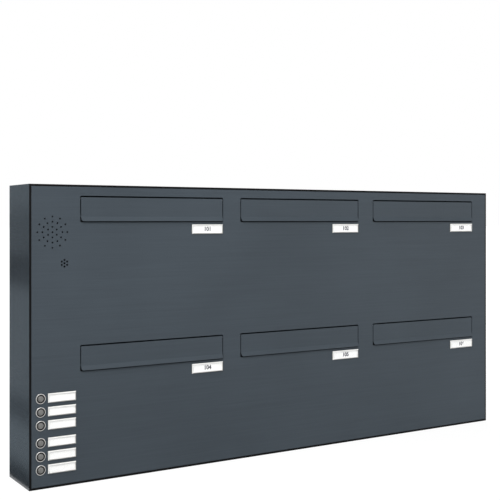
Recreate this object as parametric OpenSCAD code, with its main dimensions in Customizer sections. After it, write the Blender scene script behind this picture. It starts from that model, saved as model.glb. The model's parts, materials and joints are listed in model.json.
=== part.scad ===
// Cluster mailbox unit: two rows of three letter compartments behind one front panel,
// a bell and intercom column at the left, and a lockable door behind each compartment.
// +X runs to the right as seen from the front, the front faces -Y and +Z is up.
// The origin is the centre of the underside.

/* [Casing] */
// Width of the whole unit
unit_w = 1240; // [1100:5:1500]
// Height of the whole unit
unit_h = 600; // [540:5:700]
// Depth from the front face to the rear face
unit_d = 125; // [115:5:160]
// Thickness of the casing sheets
casing_t = 1.5; // [1:0.25:2.5]
// How far the casing's front edges stand back from the front face
casing_setback = 1.5; // [0.5:0.5:3]
// Width of the flanges that join the casing's corners
corner_flange = 20; // [16:1:24]
// Width of the casing's rear flange beside the service cover
cover_flange = 12; // [10:1:16]
// Dark gap between the casing and the front panel
shadow_gap = 2.5; // [1.5:0.25:4]

/* [Front panel] */
// Thickness of the front panel
panel_t = 2; // [1.5:0.25:3]
// Depth of the front panel's folded edges, from its face
panel_return = 12; // [8:1:16]
// Diameter of the weld studs on the panel's back
stud_d = 4; // [3:1:5]
// Length of a weld stud
stud_len = 7; // [6:0.5:10]

/* [Compartments] */
// Distance from the unit's left side to the first partition
bell_column_w = 83; // [80:1:100]
// Distance from the last partition to the unit's right side
end_margin = 29; // [26:1:40]
// Thickness of partitions, shelves and flap brackets
liner_t = 1.5; // [1:0.25:2]
// Width of the flanges on partitions and shelves
liner_flange = 10; // [9:0.5:11]
// How far partitions and shelves end before the rear face
liner_setback = 1; // [0.5:0.5:3]

/* [Flaps] */
// Width of the sheet between two neighbouring flaps
flap_spacing = 48; // [45:1:60]
// Height of a flap with its lip
flap_h = 48; // [47:1:54]
// Thickness of a flap
flap_t = 1.5; // [1:0.25:2]
// Distance from a compartment's top to its flap's top edge
flap_drop = 25; // [22:1:40]
// Gap beside a flap
flap_side_gap = 2; // [1:0.25:3]
// Gap above a flap
flap_top_gap = 3; // [2.75:0.25:4]
// Gap below a flap
flap_bottom_gap = 2.5; // [1.5:0.25:4]
// Height of the lip that is bent outward
lip_h = 9; // [7:0.5:11]
// How far the lip stands out of the front face
lip_out = 5; // [3:0.5:8]
// Corner radius of a flap's lower corners
lip_corner = 4; // [2:0.5:6]
// Corner radius of the cut-outs for the flaps
cutout_corner = 3; // [1:0.5:4]
// Diameter of the rod that a flap hangs on
rod_d = 3; // [2:0.5:4]
// Depth of the rod's axis behind the front face
rod_depth = 6; // [5.5:0.25:6.5]
// Distance from a flap's top edge down to the rod's axis
rod_drop = 3; // [2.5:0.25:3.5]
// Wall of the knuckles round the rod
knuckle_wall = 1.5; // [1:0.25:2]
// Length of a knuckle
knuckle_len = 12; // [8:1:20]
// Depth of the bracket ears that carry the rod
bracket_ear = 9; // [8:0.5:10]
// Height of a bracket
bracket_h = 26; // [20:1:30]
// Gap between a bracket's foot and the partition's flange
foot_gap = 2.25; // [0.5:0.25:4]
// How far the sill behind a flap overlaps the flap's flat part
sill_overlap = 3; // [2:0.5:5]
// Thickness of the sill's sheet
sill_t = 1.5; // [1:0.25:2]
// Height of the sill's leg below the cut-out
sill_leg = 10; // [8:1:14]

/* [Rear doors] */
// Thickness of a door's sheet
door_t = 1.5; // [1:0.25:2]
// Depth of a door's folded edges
door_return = 12; // [10:1:14]
// Gap round a door
door_gap = 2; // [1.5:0.25:3]
// Gap between a door and the partition on its hinge side
hinge_gap = 2.5; // [2.25:0.25:4]
// Diameter of the hinge pins
pin_d = 4; // [3:0.5:5]
// Distance from the door's edge to the hinge axis
pin_inset = 6; // [5:0.5:7]
// Depth of the hinge axis in from the rear face
pin_depth = 5; // [4.5:0.25:5.5]
// Diameter of the collar that a door turns on
collar_d = 8; // [7:0.5:9]
// How far a pin reaches into a door, past the gap
pin_reach = 5; // [4:0.5:8]

/* [Locks] */
// Distance from the door's free edge to the lock's axis
lock_inset = 22; // [20:1:26]
// Diameter of the lock's barrel
barrel_d = 18; // [16:0.5:20]
// Depth of the barrel in from the rear face
barrel_len = 16; // [15.5:0.5:18]
// Diameter of the lock's rosette
rosette_d = 23; // [22:0.5:26]
// Thickness of the rosette
rosette_t = 3; // [2:0.5:4]
// Diameter of the turning plug
plug_d = 12; // [10:0.5:13]
// Width of the cam
cam_w = 14; // [12:1:16]
// Reach of the cam from the lock's axis
cam_reach = 20.5; // [19:0.25:21]
// Thickness of the cam
cam_t = 2; // [1.5:0.25:3]
// Thickness of the lock nut
lock_nut_t = 4; // [3:0.5:5]
// Width across the flats of the lock nut
lock_nut_af = 22; // [21:1:26]
// Width of the strike's tab
strike_tab = 8; // [7:0.5:9]
// Length of the strike's foot on the partition
strike_foot = 18; // [14:1:24]
// Height of the strike
strike_h = 30; // [24:1:40]

/* [Nameplates] */
// Width of a nameplate under a flap
nameplate_w = 76; // [60:1:90]
// Height of a nameplate
nameplate_h = 20.5; // [18:0.5:26]
// Distance from a flap's lower edge to its nameplate
nameplate_drop = 7.5; // [5:0.5:12]
// Width of a label beside a bell button
bell_label_w = 58; // [50:1:60]
// Height of a label beside a bell button
bell_label_h = 18.5; // [16:0.5:22]
// Thickness of a label's base
label_base_t = 1.2; // [0.8:0.1:2]
// Thickness of a paper card
card_t = 0.4; // [0.3:0.1:0.6]
// Thickness of a clear cover
cover_t = 2.2; // [1.5:0.1:3]
// Width of the bevel round a clear cover
cover_bevel = 1.6; // [1:0.1:2]

/* [Bell buttons] */
// Distance from the unit's left side to the buttons' axis
button_x = 22.5; // [20:0.5:25]
// Distance from the unit's left side to the labels
bell_label_x = 37.5; // [36:0.5:40]
// Height of the lowest button above the underside
button_rise = 38; // [30:1:50]
// Distance from one button to the next
button_pitch = 26.5; // [24:0.5:27]
// Extra distance between the two groups of buttons
button_group_gap = 7.5; // [0:0.5:12]
// Diameter of a button's rim
button_rim_d = 20; // [19:0.5:22]
// Height of a button's rim
button_rim_t = 2; // [1.5:0.25:3]
// Diameter of a button's threaded body
button_body_d = 16; // [15.5:0.5:18]
// Diameter of the dark ring in the rim
button_ring_d = 14.4; // [14:0.1:15]
// Diameter of the plunger
plunger_d = 10; // [9:0.5:12]
// How far the plunger stands out of the rim
plunger_proud = 0.6; // [0.2:0.1:1]
// Travel of the plunger
plunger_travel = 1.5; // [1:0.25:2]
// Thickness of a button's nut
button_nut_t = 3; // [2:0.5:4]
// Width across the flats of a button's nut
button_nut_af = 19; // [18:0.5:20]

/* [Intercom] */
// Distance from the unit's left side to the loudspeaker's axis
speaker_x = 47; // [44:1:48]
// Distance from the unit's top to the loudspeaker's axis
speaker_drop = 95; // [85:1:110]
// Diameter of the loudspeaker
speaker_d = 66; // [62:1:67]
// Distance between the rings of loudspeaker holes
speaker_ring = 10.3; // [9:0.1:10.5]
// Diameter of a loudspeaker hole
speaker_hole_d = 3.6; // [3:0.1:4]
// Distance from the unit's left side to the microphone's axis
mic_x = 72; // [60:1:72]
// Distance from the unit's top to the microphone's axis
mic_drop = 157; // [150:1:175]
// Diameter of the microphone's holder
mic_holder_d = 18; // [17:0.5:18]
// Radius of the ring of microphone holes
mic_ring = 6.5; // [5:0.25:6.5]
// Diameter of a microphone hole
mic_hole_d = 3.6; // [3:0.1:4]
// Width of the intercom board
board_w = 60; // [50:1:62]
// Height of the intercom board
board_h = 130; // [100:1:150]
// Distance from the unit's top to the board
board_drop = 200; // [195:1:230]
// Height of the spacers that carry the board
spacer_h = 9; // [6:0.5:14]

/* [Fastening] */
// Distance from the unit's ends to the base bolts
base_bolt_inset = 120; // [105:1:160]
// Distance between the base bolts along the depth
base_bolt_span_y = 60; // [50:2:70]
// Diameter of the base bolt holes
base_bolt_d = 9; // [7:0.5:11]
// Diameter of the rivets
rivet_d = 4; // [3:0.5:4.5]
// Distance between the two rivets of a flange
rivet_span = 60; // [40:2:70]
// Diameter of the service cover's screws
screw_d = 4; // [3:0.5:4.5]
// Distance from the unit's top and bottom to the outer screws
screw_inset = 24; // [18:1:40]
// Diameter of the cable's way through the grommet
cable_d = 12; // [8:0.5:14]
// Height of the cable entry above the underside
cable_z = 80; // [60:1:120]

/* [Hidden] */
$fn = 48;
columns = 3;
rows = 2;
button_count = 6;
buttons_per_group = 3;
run_clear = 0.05;   // radial play of a shaft in its bore
seat_clear = 0.2;   // play between a part and what it rests on
hole_clear = 0.15;  // radial play of a fastener in its hole
fold_gap = 0.05;    // hairline between a flat sheet and its folded edge, which are two solids
spare = 1;          // how far a cutting solid runs past a face

left_x = -unit_w / 2;
right_x = unit_w / 2;
front_y = -unit_d / 2;
rear_y = unit_d / 2;
floor_z = casing_t;
ceiling_z = unit_h - casing_t;
row_pitch = unit_h / rows;
column_pitch = (unit_w - bell_column_w - end_margin) / columns;
flap_w = column_pitch - flap_spacing;
base_bolt_span_x = unit_w - 2 * base_bolt_inset;

panel_back_y = front_y + panel_t;
panel_inset = casing_t + shadow_gap;
panel_lo = [left_x + panel_inset, front_y, panel_inset];
panel_hi = [right_x - panel_inset, front_y + panel_return, unit_h - panel_inset];

liner_rear_y = rear_y - liner_setback;
cover_seat_y = rear_y - casing_t;

alpha = atan(lip_out / lip_h);
lip_end_z = flap_t * sin(alpha);
rod_y = front_y + rod_depth;
knuckle_r = rod_d / 2 + knuckle_wall;
cutout_w = flap_w + 2 * flap_side_gap;
cutout_h = flap_h + flap_top_gap + flap_bottom_gap;
bracket_gap = 1;    // from the cut-out's edge to a bracket's ear
ear_x = cutout_w / 2 + bracket_gap;
bracket_foot = column_pitch / 2 - ear_x - liner_t / 2 - liner_flange - foot_gap;
rod_head_t = 1;
rod_head_d = rod_d + 2;
rod_len = 2 * (ear_x + liner_t + seat_clear + rod_head_t);

hinge_y = rear_y - pin_depth;
strike_gap = 0.4;   // from the barrel's inner end to the strike
strike_y = rear_y - barrel_len + strike_gap;

bell_n = [for (i = [0 : button_count - 1]) i];
all_n = [for (i = [0 : columns * rows - 1]) i];

function column_of(n) = n % columns;
function row_of(n) = floor(n / columns);
function partition_x(i) = left_x + bell_column_w + i * column_pitch;
function column_x(c) = partition_x(c) + column_pitch / 2;
function shelf_z(r) = unit_h - r * row_pitch;
function room_top(r) = r == 0 ? ceiling_z : shelf_z(r) - liner_t / 2;
function room_floor(r) = r == rows - 1 ? floor_z : shelf_z(r + 1) + liner_t / 2;
function flap_top(r) = shelf_z(r) - flap_drop;
function flap_bottom(r) = flap_top(r) - flap_h;
function rod_z(r) = flap_top(r) - rod_drop;
function door_x0(c) = partition_x(c) + liner_t / 2 + hinge_gap;
function door_x1(c) = partition_x(c + 1) - liner_t / 2 - door_gap;
function door_z0(r) = room_floor(r) + door_gap;
function door_z1(r) = room_top(r) - door_gap;
function hinge_x(c) = door_x0(c) + pin_inset;
function lock_x(c) = door_x1(c) - lock_inset;
function lock_z(r) = (door_z0(r) + door_z1(r)) / 2;
function button_z(i) =
    let (above = button_count - 1 - i)
        button_rise + above * button_pitch + floor(above / buttons_per_group) * button_group_gap;

coat = [0.27, 0.30, 0.33];
zinc = [0.72, 0.73, 0.74];
steel = [0.82, 0.82, 0.80];
rubber = [0.12, 0.12, 0.12];
clear = [0.85, 0.92, 0.95, 0.45];
paper = [0.96, 0.96, 0.94];

// A box between two opposite corners
module slab(lo, hi) {
    translate(lo) cube(hi - lo);
}

// A block whose four edges along Y are rounded
module rounded_slab(lo, hi, r) {
    slab([lo.x + r, lo.y, lo.z], [hi.x - r, hi.y, hi.z]);
    slab([lo.x, lo.y, lo.z + r], [hi.x, hi.y, hi.z - r]);
    for (x = [lo.x + r, hi.x - r], z = [lo.z + r, hi.z - r])
        translate([x, lo.y, z]) rod_along_y(2 * r, hi.y - lo.y);
}

// A cylinder along Y, from its given point towards the rear
module rod_along_y(d, len) {
    rotate([-90, 0, 0]) cylinder(d = d, h = len);
}

// A cylinder along X, centred on its given point
module rod_along_x(d, len) {
    rotate([0, 90, 0]) cylinder(d = d, h = len, center = true);
}

// A six-sided nut blank along Y
module hex_along_y(across_flats, len) {
    rotate([-90, 0, 0]) cylinder(d = across_flats / cos(30), h = len, $fn = 6);
}

// A folded tray that is open towards the front
module tray(lo, hi, t) {
    difference() {
        slab(lo, hi);
        slab([lo.x + t, lo.y - spare, lo.z + t], [hi.x - t, hi.y - t, hi.z - t]);
    }
}

// ---- Casing ----

flange_front_gap = 2;
flange_rear_gap = 4;
flange_y0 = front_y + panel_return + flange_front_gap;
flange_y1 = rear_y - door_return - flange_rear_gap;
rivet_y = [for (s = [-1, 1]) (flange_y0 + flange_y1) / 2 + s * rivet_span / 2];

module side_sheet(side) {
    outer = side * unit_w / 2;
    inner = outer - side * casing_t;
    toe = inner - side * corner_flange;
    slab(
        [min(outer, inner), front_y + casing_setback, 0],
        [max(outer, inner), rear_y, unit_h]
    );
    for (z = [floor_z, ceiling_z - casing_t])
        slab([min(inner, toe), flange_y0, z], [max(inner, toe), flange_y1, z + casing_t]);
}

module corner_rivet_holes(side) {
    x = side * (unit_w / 2 - casing_t - corner_flange / 2);
    for (y = rivet_y)
        translate([x, y, -spare]) cylinder(d = rivet_d + 2 * hole_clear, h = unit_h + 2 * spare);
}

module casing_left() {
    color(coat) difference() {
        union() {
            side_sheet(-1);
            slab(
                [left_x + casing_t, cover_seat_y - casing_t, floor_z + casing_t],
                [left_x + casing_t + cover_flange, cover_seat_y, ceiling_z - casing_t]
            );
        }
        corner_rivet_holes(-1);
        cover_screw_holes(left_screw_x);
    }
}

module casing_right() {
    toe = partition_x(columns) + liner_t / 2 + seat_clear;
    color(coat) difference() {
        union() {
            side_sheet(1);
            slab(
                [toe, rear_y - casing_t, floor_z + seat_clear],
                [right_x - casing_t, rear_y, ceiling_z - seat_clear]
            );
        }
        corner_rivet_holes(1);
    }
}

module level_sheet(z) {
    difference() {
        slab(
            [left_x + casing_t, front_y + casing_setback, z],
            [right_x - casing_t, rear_y, z + casing_t]
        );
        for (side = [-1, 1]) corner_rivet_holes(side);
        partition_rivet_holes();
    }
}

module casing_top() {
    color(coat) level_sheet(ceiling_z);
}

module casing_bottom() {
    color(coat) difference() {
        level_sheet(0);
        for (sx = [-1, 1], sy = [-1, 1])
            translate([sx * base_bolt_span_x / 2, sy * base_bolt_span_y / 2, -spare])
                cylinder(d = base_bolt_d, h = casing_t + 2 * spare);
    }
}

// ---- Front panel ----

stud_levels = [0.25, 0.8];
stud_z = [for (r = [0 : rows - 1], k = stud_levels) shelf_z(r) - k * row_pitch];
stud_offset = (liner_t + liner_flange) / 2;
panel_nut_af = 7;
panel_nut_t = 3.2;
speaker_counts = [6, 12, 12];
mic_counts = [6];

module each_stud() {
    for (i = [0 : columns], z = stud_z)
        translate([partition_x(i) + stud_offset, panel_back_y, z]) children();
}

// One hole in the middle and rings of holes round it
module hole_rings(ring, counts, d) {
    rod_along_y(d, panel_t + 2 * spare);
    for (k = [0 : len(counts) - 1], j = [0 : counts[k] - 1])
        rotate([0, 90 + j * 360 / counts[k], 0])
            translate([(k + 1) * ring, 0, 0])
                rod_along_y(d, panel_t + 2 * spare);
}

// The four folded edges of the front panel, as separate strips behind its face
module panel_edges() {
    y0 = panel_back_y + fold_gap;
    y1 = panel_hi.y;
    inner = panel_t + fold_gap;
    for (x = [panel_lo.x, panel_hi.x - panel_t])
        slab([x, y0, panel_lo.z], [x + panel_t, y1, panel_hi.z]);
    for (z = [panel_lo.z, panel_hi.z - panel_t])
        slab([panel_lo.x + inner, y0, z], [panel_hi.x - inner, y1, z + panel_t]);
}

module front_panel() {
    color(coat) {
        panel_edges();
        difference() {
            slab(panel_lo, [panel_hi.x, panel_back_y, panel_hi.z]);
            for (n = all_n)
                rounded_slab(
                    [column_x(column_of(n)) - cutout_w / 2, front_y - spare,
                     flap_bottom(row_of(n)) - flap_bottom_gap],
                    [column_x(column_of(n)) + cutout_w / 2, panel_back_y + spare,
                     flap_top(row_of(n)) + flap_top_gap],
                    cutout_corner
                );
            for (i = bell_n)
                translate([left_x + button_x, front_y - spare, button_z(i)])
                    rod_along_y(button_body_d + 2 * hole_clear, panel_t + 2 * spare);
            translate([left_x + speaker_x, front_y - spare, unit_h - speaker_drop])
                hole_rings(speaker_ring, speaker_counts, speaker_hole_d);
            translate([left_x + mic_x, front_y - spare, unit_h - mic_drop])
                hole_rings(mic_ring, mic_counts, mic_hole_d);
        }
    }
}

// The studs on the panel's back, each with its nut
module panel_fixings() {
    color(zinc) each_stud() {
        rod_along_y(stud_d, stud_len);
        translate([0, liner_t, 0]) difference() {
            hex_along_y(panel_nut_af, panel_nut_t);
            translate([0, -spare, 0])
                rod_along_y(stud_d + 2 * run_clear, panel_nut_t + 2 * spare);
        }
    }
}

// ---- Partitions and shelves ----

partition_rivet_offset = (liner_t + liner_flange) / 2;
notch_side = liner_flange + 2;

module partition_rivet_holes() {
    for (i = [0 : columns], y = rivet_y)
        translate([partition_x(i) - partition_rivet_offset, y, -spare])
            cylinder(d = rivet_d + 2 * hole_clear, h = unit_h + 2 * spare);
}

module partition(i) {
    x = partition_x(i);
    half = liner_t / 2;
    fold = half + fold_gap;
    notch = panel_inset + panel_t + seat_clear;
    difference() {
        union() {
            slab([x - half, panel_back_y, floor_z], [x + half, liner_rear_y, ceiling_z]);
            // flange against the front panel
            slab(
                [x + fold, panel_back_y, notch],
                [x + half + liner_flange, panel_back_y + liner_t, unit_h - notch]
            );
            // flanges against the casing's top and bottom
            for (z = [floor_z, ceiling_z - liner_t])
                slab([x - half - liner_flange, flange_y0, z], [x - fold, flange_y1, z + liner_t]);
            // flanges behind the service cover and behind the casing's right rear edge
            if (i == 0)
                slab(
                    [x - half - liner_flange, cover_seat_y - liner_t, floor_z + liner_t],
                    [x - fold, cover_seat_y, ceiling_z - liner_t]
                );
            if (i == columns)
                slab(
                    [x + fold, rear_y - casing_t - liner_t, floor_z + liner_t],
                    [x + half + liner_flange, rear_y - casing_t, ceiling_z - liner_t]
                );
        }
        // room for the front panel's folded edges
        for (z = [-spare, unit_h - notch])
            slab(
                [x - notch_side, front_y, z],
                [x + notch_side, front_y + panel_return + seat_clear, z + notch + spare]
            );
        for (z = stud_z)
            translate([x + stud_offset, panel_back_y - spare, z])
                rod_along_y(stud_d + 2 * hole_clear, liner_t + 2 * spare);
        for (y = rivet_y, z = shelf_rivet_z)
            translate([x, y, z]) rod_along_x(rivet_d + 2 * hole_clear, liner_t + 2 * spare);
        if (i == 0) cover_screw_holes(right_screw_x);
    }
}

module partitions() {
    color(coat) difference() {
        for (i = [0 : columns]) partition(i);
        partition_rivet_holes();
    }
}

shelf_flange = 12;
shelf_rivet_z = [for (r = [1 : rows - 1]) shelf_z(r) - liner_t / 2 - shelf_flange / 2];

module shelf(c, r) {
    x0 = partition_x(c) + liner_t / 2;
    x1 = partition_x(c + 1) - liner_t / 2;
    z1 = shelf_z(r) + liner_t / 2;
    z0 = z1 - liner_t - shelf_flange;
    difference() {
        union() {
            slab([x0, panel_back_y + liner_t, z1 - liner_t], [x1, liner_rear_y, z1]);
            slab(
                [x0 + liner_flange + seat_clear, panel_back_y, z0],
                [x1, panel_back_y + liner_t - fold_gap, z1]
            );
            for (x = [x0, x1 - liner_t])
                slab([x, flange_y0, z0], [x + liner_t, flange_y1, z1 - liner_t - fold_gap]);
        }
        for (y = rivet_y, x = [x0, x1])
            translate([x, y, shelf_rivet_z[r - 1]])
                rod_along_x(rivet_d + 2 * hole_clear, 2 * liner_t + 2 * spare);
        translate([hinge_x(c), hinge_y, z0])
            cylinder(d = pin_d + 2 * hole_clear, h = shelf_flange + 2 * liner_t);
    }
}

module shelves() {
    color(coat) for (r = [1 : rows - 1], c = [0 : columns - 1]) shelf(c, r);
}

// ---- Letter flaps ----

// A flap's section in the Y-Z plane: flat part above, lip bent outward below
module flap_section() {
    polygon([
        [0, flap_h],
        [0, lip_h],
        [-lip_out, 0],
        [-lip_out + flap_t * cos(alpha), -lip_end_z],
        [flap_t, lip_h - flap_t * tan(alpha / 2)],
        [flap_t, flap_h]
    ]);
}

knuckle_end_gap = 1;
knuckle_web = knuckle_r - 0.5;
outer_knuckle_x = (flap_w - knuckle_len) / 2 - knuckle_end_gap;
knuckle_x = [-outer_knuckle_x, 0, outer_knuckle_x];

module flap(n) {
    r = row_of(n);
    color(coat) translate([column_x(column_of(n)), 0, 0]) difference() {
        union() {
            intersection() {
                translate([-flap_w / 2, front_y, flap_bottom(r)])
                    rotate([90, 0, 90]) linear_extrude(flap_w) flap_section();
                // rounds the lower corners and leaves the upper ones square
                rounded_slab(
                    [-flap_w / 2, front_y - lip_out - spare, flap_bottom(r) - lip_end_z],
                    [flap_w / 2, front_y + flap_t + spare, flap_top(r) + lip_corner + spare],
                    lip_corner
                );
            }
            for (x = knuckle_x) {
                translate([x, rod_y, rod_z(r)]) rod_along_x(2 * knuckle_r, knuckle_len);
                slab(
                    [x - knuckle_len / 2, front_y + flap_t / 2, rod_z(r) - knuckle_web],
                    [x + knuckle_len / 2, rod_y, rod_z(r) + knuckle_web]
                );
            }
        }
        translate([0, rod_y, rod_z(r)]) rod_along_x(rod_d + 2 * run_clear, flap_w + 2 * spare);
    }
}

module flap_rods() {
    color(steel) for (n = all_n)
        translate([column_x(column_of(n)), rod_y, rod_z(row_of(n))]) {
            rod_along_x(rod_d, rod_len);
            for (s = [-1, 1])
                translate([s * (rod_len - rod_head_t) / 2, 0, 0])
                    rod_along_x(rod_head_d, rod_head_t);
        }
}

bracket_over = 1;    // how far a bracket runs above the knuckles
bracket_z1 = knuckle_r + bracket_over;
bracket_z0 = bracket_z1 - bracket_h;

module flap_brackets() {
    color(coat) for (n = all_n, s = [-1, 1])
        translate([column_x(column_of(n)), 0, rod_z(row_of(n))]) mirror([s < 0 ? 1 : 0, 0, 0])
            difference() {
                union() {
                    slab(
                        [ear_x, panel_back_y, bracket_z0],
                        [ear_x + bracket_foot, panel_back_y + liner_t, bracket_z1]
                    );
                    slab(
                        [ear_x, panel_back_y, bracket_z0],
                        [ear_x + liner_t, panel_back_y + bracket_ear, bracket_z1]
                    );
                }
                translate([ear_x, rod_y, 0]) rod_along_x(rod_d + 2 * run_clear, 4 * liner_t);
            }
}

// Sill behind the flap's lower part, with its leg on the panel's back
sill_past = 7;       // how far a sill runs past the cut-out's sides
sill_below = 1;      // from the cut-out's lower edge down to the sill's foot
sill_w = cutout_w + 2 * sill_past;
sill_gap = 1.5;
sill_top = lip_h + sill_overlap;

module slot_sills() {
    color(coat) for (n = all_n)
        translate([column_x(column_of(n)) - sill_w / 2, panel_back_y, flap_bottom(row_of(n))])
            rotate([90, 0, 90]) linear_extrude(sill_w) sill_section();
}

module sill_section() {
    foot_z = -flap_bottom_gap - sill_below;
    polygon([
        [0, foot_z],
        [0, foot_z - sill_leg],
        [sill_t, foot_z - sill_leg],
        [sill_t, foot_z - sill_t],
        [sill_gap + sill_t, foot_z - sill_t],
        [sill_gap + sill_t, sill_top],
        [sill_gap, sill_top],
        [sill_gap, foot_z]
    ]);
}

strip_end_gap = 10;
strip_lift = 0.3;
pad_side_gap = 0.75;
pad_past = 1.75;     // how far a pad runs past the door's folded edge
pad_end_gap = 2;

// Rubber strips that the flaps rest on, and pads that the doors rest on
module rubber_buffers() {
    flap_back_y = front_y + flap_t;
    strip_x = flap_w / 2 - strip_end_gap;
    pad_x = door_gap + door_t + pad_past;
    pad_z = strike_h / 2 - pad_end_gap;
    color(rubber) {
        for (n = all_n)
            translate([column_x(column_of(n)), 0, flap_bottom(row_of(n)) + lip_h])
                slab(
                    [-strip_x, flap_back_y + seat_clear, strip_lift],
                    [strip_x, panel_back_y + sill_gap, sill_overlap]
                );
        for (n = all_n)
            translate([partition_x(column_of(n) + 1) - liner_t / 2, 0, lock_z(row_of(n))])
                slab(
                    [-pad_x, strike_y + liner_t, -pad_z],
                    [-pad_side_gap, rear_y - door_return - seat_clear, pad_z]
                );
    }
}

// ---- Labels ----

cover_edge_t = 0.3 * cover_t;

// A clear block with a bevel on all four sides, standing out from the base towards -Y
module bevelled_cover(w, h) {
    intersection() {
        rotate([90, 0, 90]) translate([0, 0, -w / 2]) linear_extrude(w) polygon([
            [0, -h / 2], [0, h / 2],
            [-cover_edge_t, h / 2], [-cover_t, h / 2 - cover_bevel],
            [-cover_t, -h / 2 + cover_bevel], [-cover_edge_t, -h / 2]
        ]);
        translate([0, 0, -h / 2]) linear_extrude(h) polygon([
            [-w / 2, 0], [w / 2, 0],
            [w / 2, -cover_edge_t], [w / 2 - cover_bevel, -cover_t],
            [-w / 2 + cover_bevel, -cover_t], [-w / 2, -cover_edge_t]
        ]);
    }
}

card_margin = 1.2;
card_play = 0.1;
card_sink = 0.05;
card_inset = card_margin + card_play;
label_base_y = -label_base_t - card_t;

// The base holds the card in a pocket, so the cover lies on the base's rim
module label_base(w, h) {
    difference() {
        slab([-w / 2, label_base_y, -h / 2], [w / 2, 0, h / 2]);
        slab(
            [-w / 2 + card_margin, label_base_y - spare, -h / 2 + card_margin],
            [w / 2 - card_margin, -label_base_t, h / 2 - card_margin]
        );
    }
}

module label_card(w, h) {
    slab(
        [-w / 2 + card_inset, label_base_y + card_sink, -h / 2 + card_inset],
        [w / 2 - card_inset, -label_base_t, h / 2 - card_inset]
    );
}

module each_nameplate() {
    for (n = all_n)
        translate([
            column_x(column_of(n)) + (flap_w - nameplate_w) / 2, front_y,
            flap_bottom(row_of(n)) - nameplate_drop - nameplate_h / 2
        ]) children();
}

module each_bell_label() {
    for (i = bell_n)
        translate([left_x + bell_label_x + bell_label_w / 2, front_y, button_z(i)]) children();
}

module nameplate_holders() {
    color(zinc) each_nameplate() label_base(nameplate_w, nameplate_h);
}

module nameplate_covers() {
    color(clear) each_nameplate()
        translate([0, label_base_y, 0]) bevelled_cover(nameplate_w, nameplate_h);
}

module bell_label_holders() {
    color(zinc) each_bell_label() label_base(bell_label_w, bell_label_h);
}

module bell_label_covers() {
    color(clear) each_bell_label()
        translate([0, label_base_y, 0]) bevelled_cover(bell_label_w, bell_label_h);
}

module label_cards() {
    color(paper) {
        each_nameplate() label_card(nameplate_w, nameplate_h);
        each_bell_label() label_card(bell_label_w, bell_label_h);
    }
}

// ---- Bell buttons ----

// Distances along a button from the rim's front face
ring_depth = 1.2;
head_len = 5;
guide_y = 12;
guide_t = 2;
clip_room = 5;
housing_len = 22;
rim_bevel = 0.5;
head_bevel = 0.4;
stem_d = 4;
clip_d = stem_d + 3;
clip_t = 1;
clip_play = 0.1;
lug_size = [1, 6.5, 3];
lug_root = 0.5;
lug_x = 3.5;
spring_wire = 0.8;
spring_inner_d = stem_d + 1.4;
spring_turns = 4;

module each_button() {
    for (i = bell_n)
        translate([left_x + button_x, front_y - button_rim_t, button_z(i)]) children();
}

module button_housings() {
    bore = plunger_d + 2 * run_clear;
    color(steel) each_button() difference() {
        union() {
            rotate([-90, 0, 0])
                cylinder(d1 = button_rim_d - 2 * rim_bevel, d2 = button_rim_d, h = rim_bevel);
            translate([0, rim_bevel, 0]) rod_along_y(button_rim_d, button_rim_t - rim_bevel);
            rod_along_y(button_body_d, housing_len);
            for (s = [-1, 1])
                translate([
                    s * lug_x - lug_size.x / 2, housing_len - lug_root, -lug_size.z / 2
                ]) cube(lug_size);
        }
        translate([0, -spare, 0]) rod_along_y(button_ring_d, ring_depth + spare);
        translate([0, -spare, 0]) rod_along_y(bore, guide_y + spare);
        translate([0, guide_y - spare, 0])
            rod_along_y(stem_d + 2 * run_clear, guide_t + 2 * spare);
        translate([0, guide_y + guide_t, 0]) rod_along_y(bore, clip_room);
    }
}

module button_nuts() {
    color(zinc) for (i = bell_n)
        translate([left_x + button_x, panel_back_y, button_z(i)]) difference() {
            hex_along_y(button_nut_af, button_nut_t);
            translate([0, -spare, 0])
                rod_along_y(button_body_d + 2 * run_clear, button_nut_t + 2 * spare);
        }
}

module bell_button(i) {
    color(steel) translate([left_x + button_x, front_y - button_rim_t, button_z(i)]) {
        translate([0, -plunger_proud, 0]) rotate([-90, 0, 0])
            cylinder(d1 = plunger_d - 2 * head_bevel, d2 = plunger_d, h = head_bevel);
        translate([0, head_bevel - plunger_proud, 0])
            rod_along_y(plunger_d, head_len - head_bevel);
        rod_along_y(stem_d, guide_y + guide_t + clip_play + clip_t);
        translate([0, guide_y + guide_t + clip_play, 0]) rod_along_y(clip_d, clip_t);
    }
}

// A coil spring as one swept surface, with its axis along Z
module coil(d, wire, len, turns) {
    sides = 6;
    steps = 10;
    count = round(turns * steps);
    points = [
        for (k = [0 : count], s = [0 : sides - 1])
            let (a = k * 360 / steps, b = s * 360 / sides, rr = d / 2 + wire / 2 * cos(b))
                [rr * cos(a), rr * sin(a),
                 wire / 2 + (len - wire) * k / count + wire / 2 * sin(b)]
    ];
    skin = [
        for (k = [0 : count - 1], s = [0 : sides - 1])
            let (s2 = (s + 1) % sides)
                [k * sides + s, (k + 1) * sides + s, (k + 1) * sides + s2, k * sides + s2]
    ];
    start = [for (s = [0 : sides - 1]) s];
    stop = [for (s = [sides - 1 : -1 : 0]) count * sides + s];
    polyhedron(points, concat(skin, [start, stop]));
}

module button_springs() {
    gap = head_len - plunger_proud + seat_clear;
    color(steel) each_button()
        translate([0, gap, 0]) rotate([-90, 0, 0])
            coil(
                spring_inner_d + spring_wire, spring_wire,
                guide_y - gap - seat_clear, spring_turns
            );
}

// ---- Intercom ----

basket_rim_t = 2;
basket_rim_w = 4;
basket_len = 10;
basket_end_d = 36;
magnet_d = 32;
magnet_len = 9;
cone_sink = 0.8;
cone_rim_w = 6;
cone_len = 8;
cone_end_d = 30;

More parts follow.
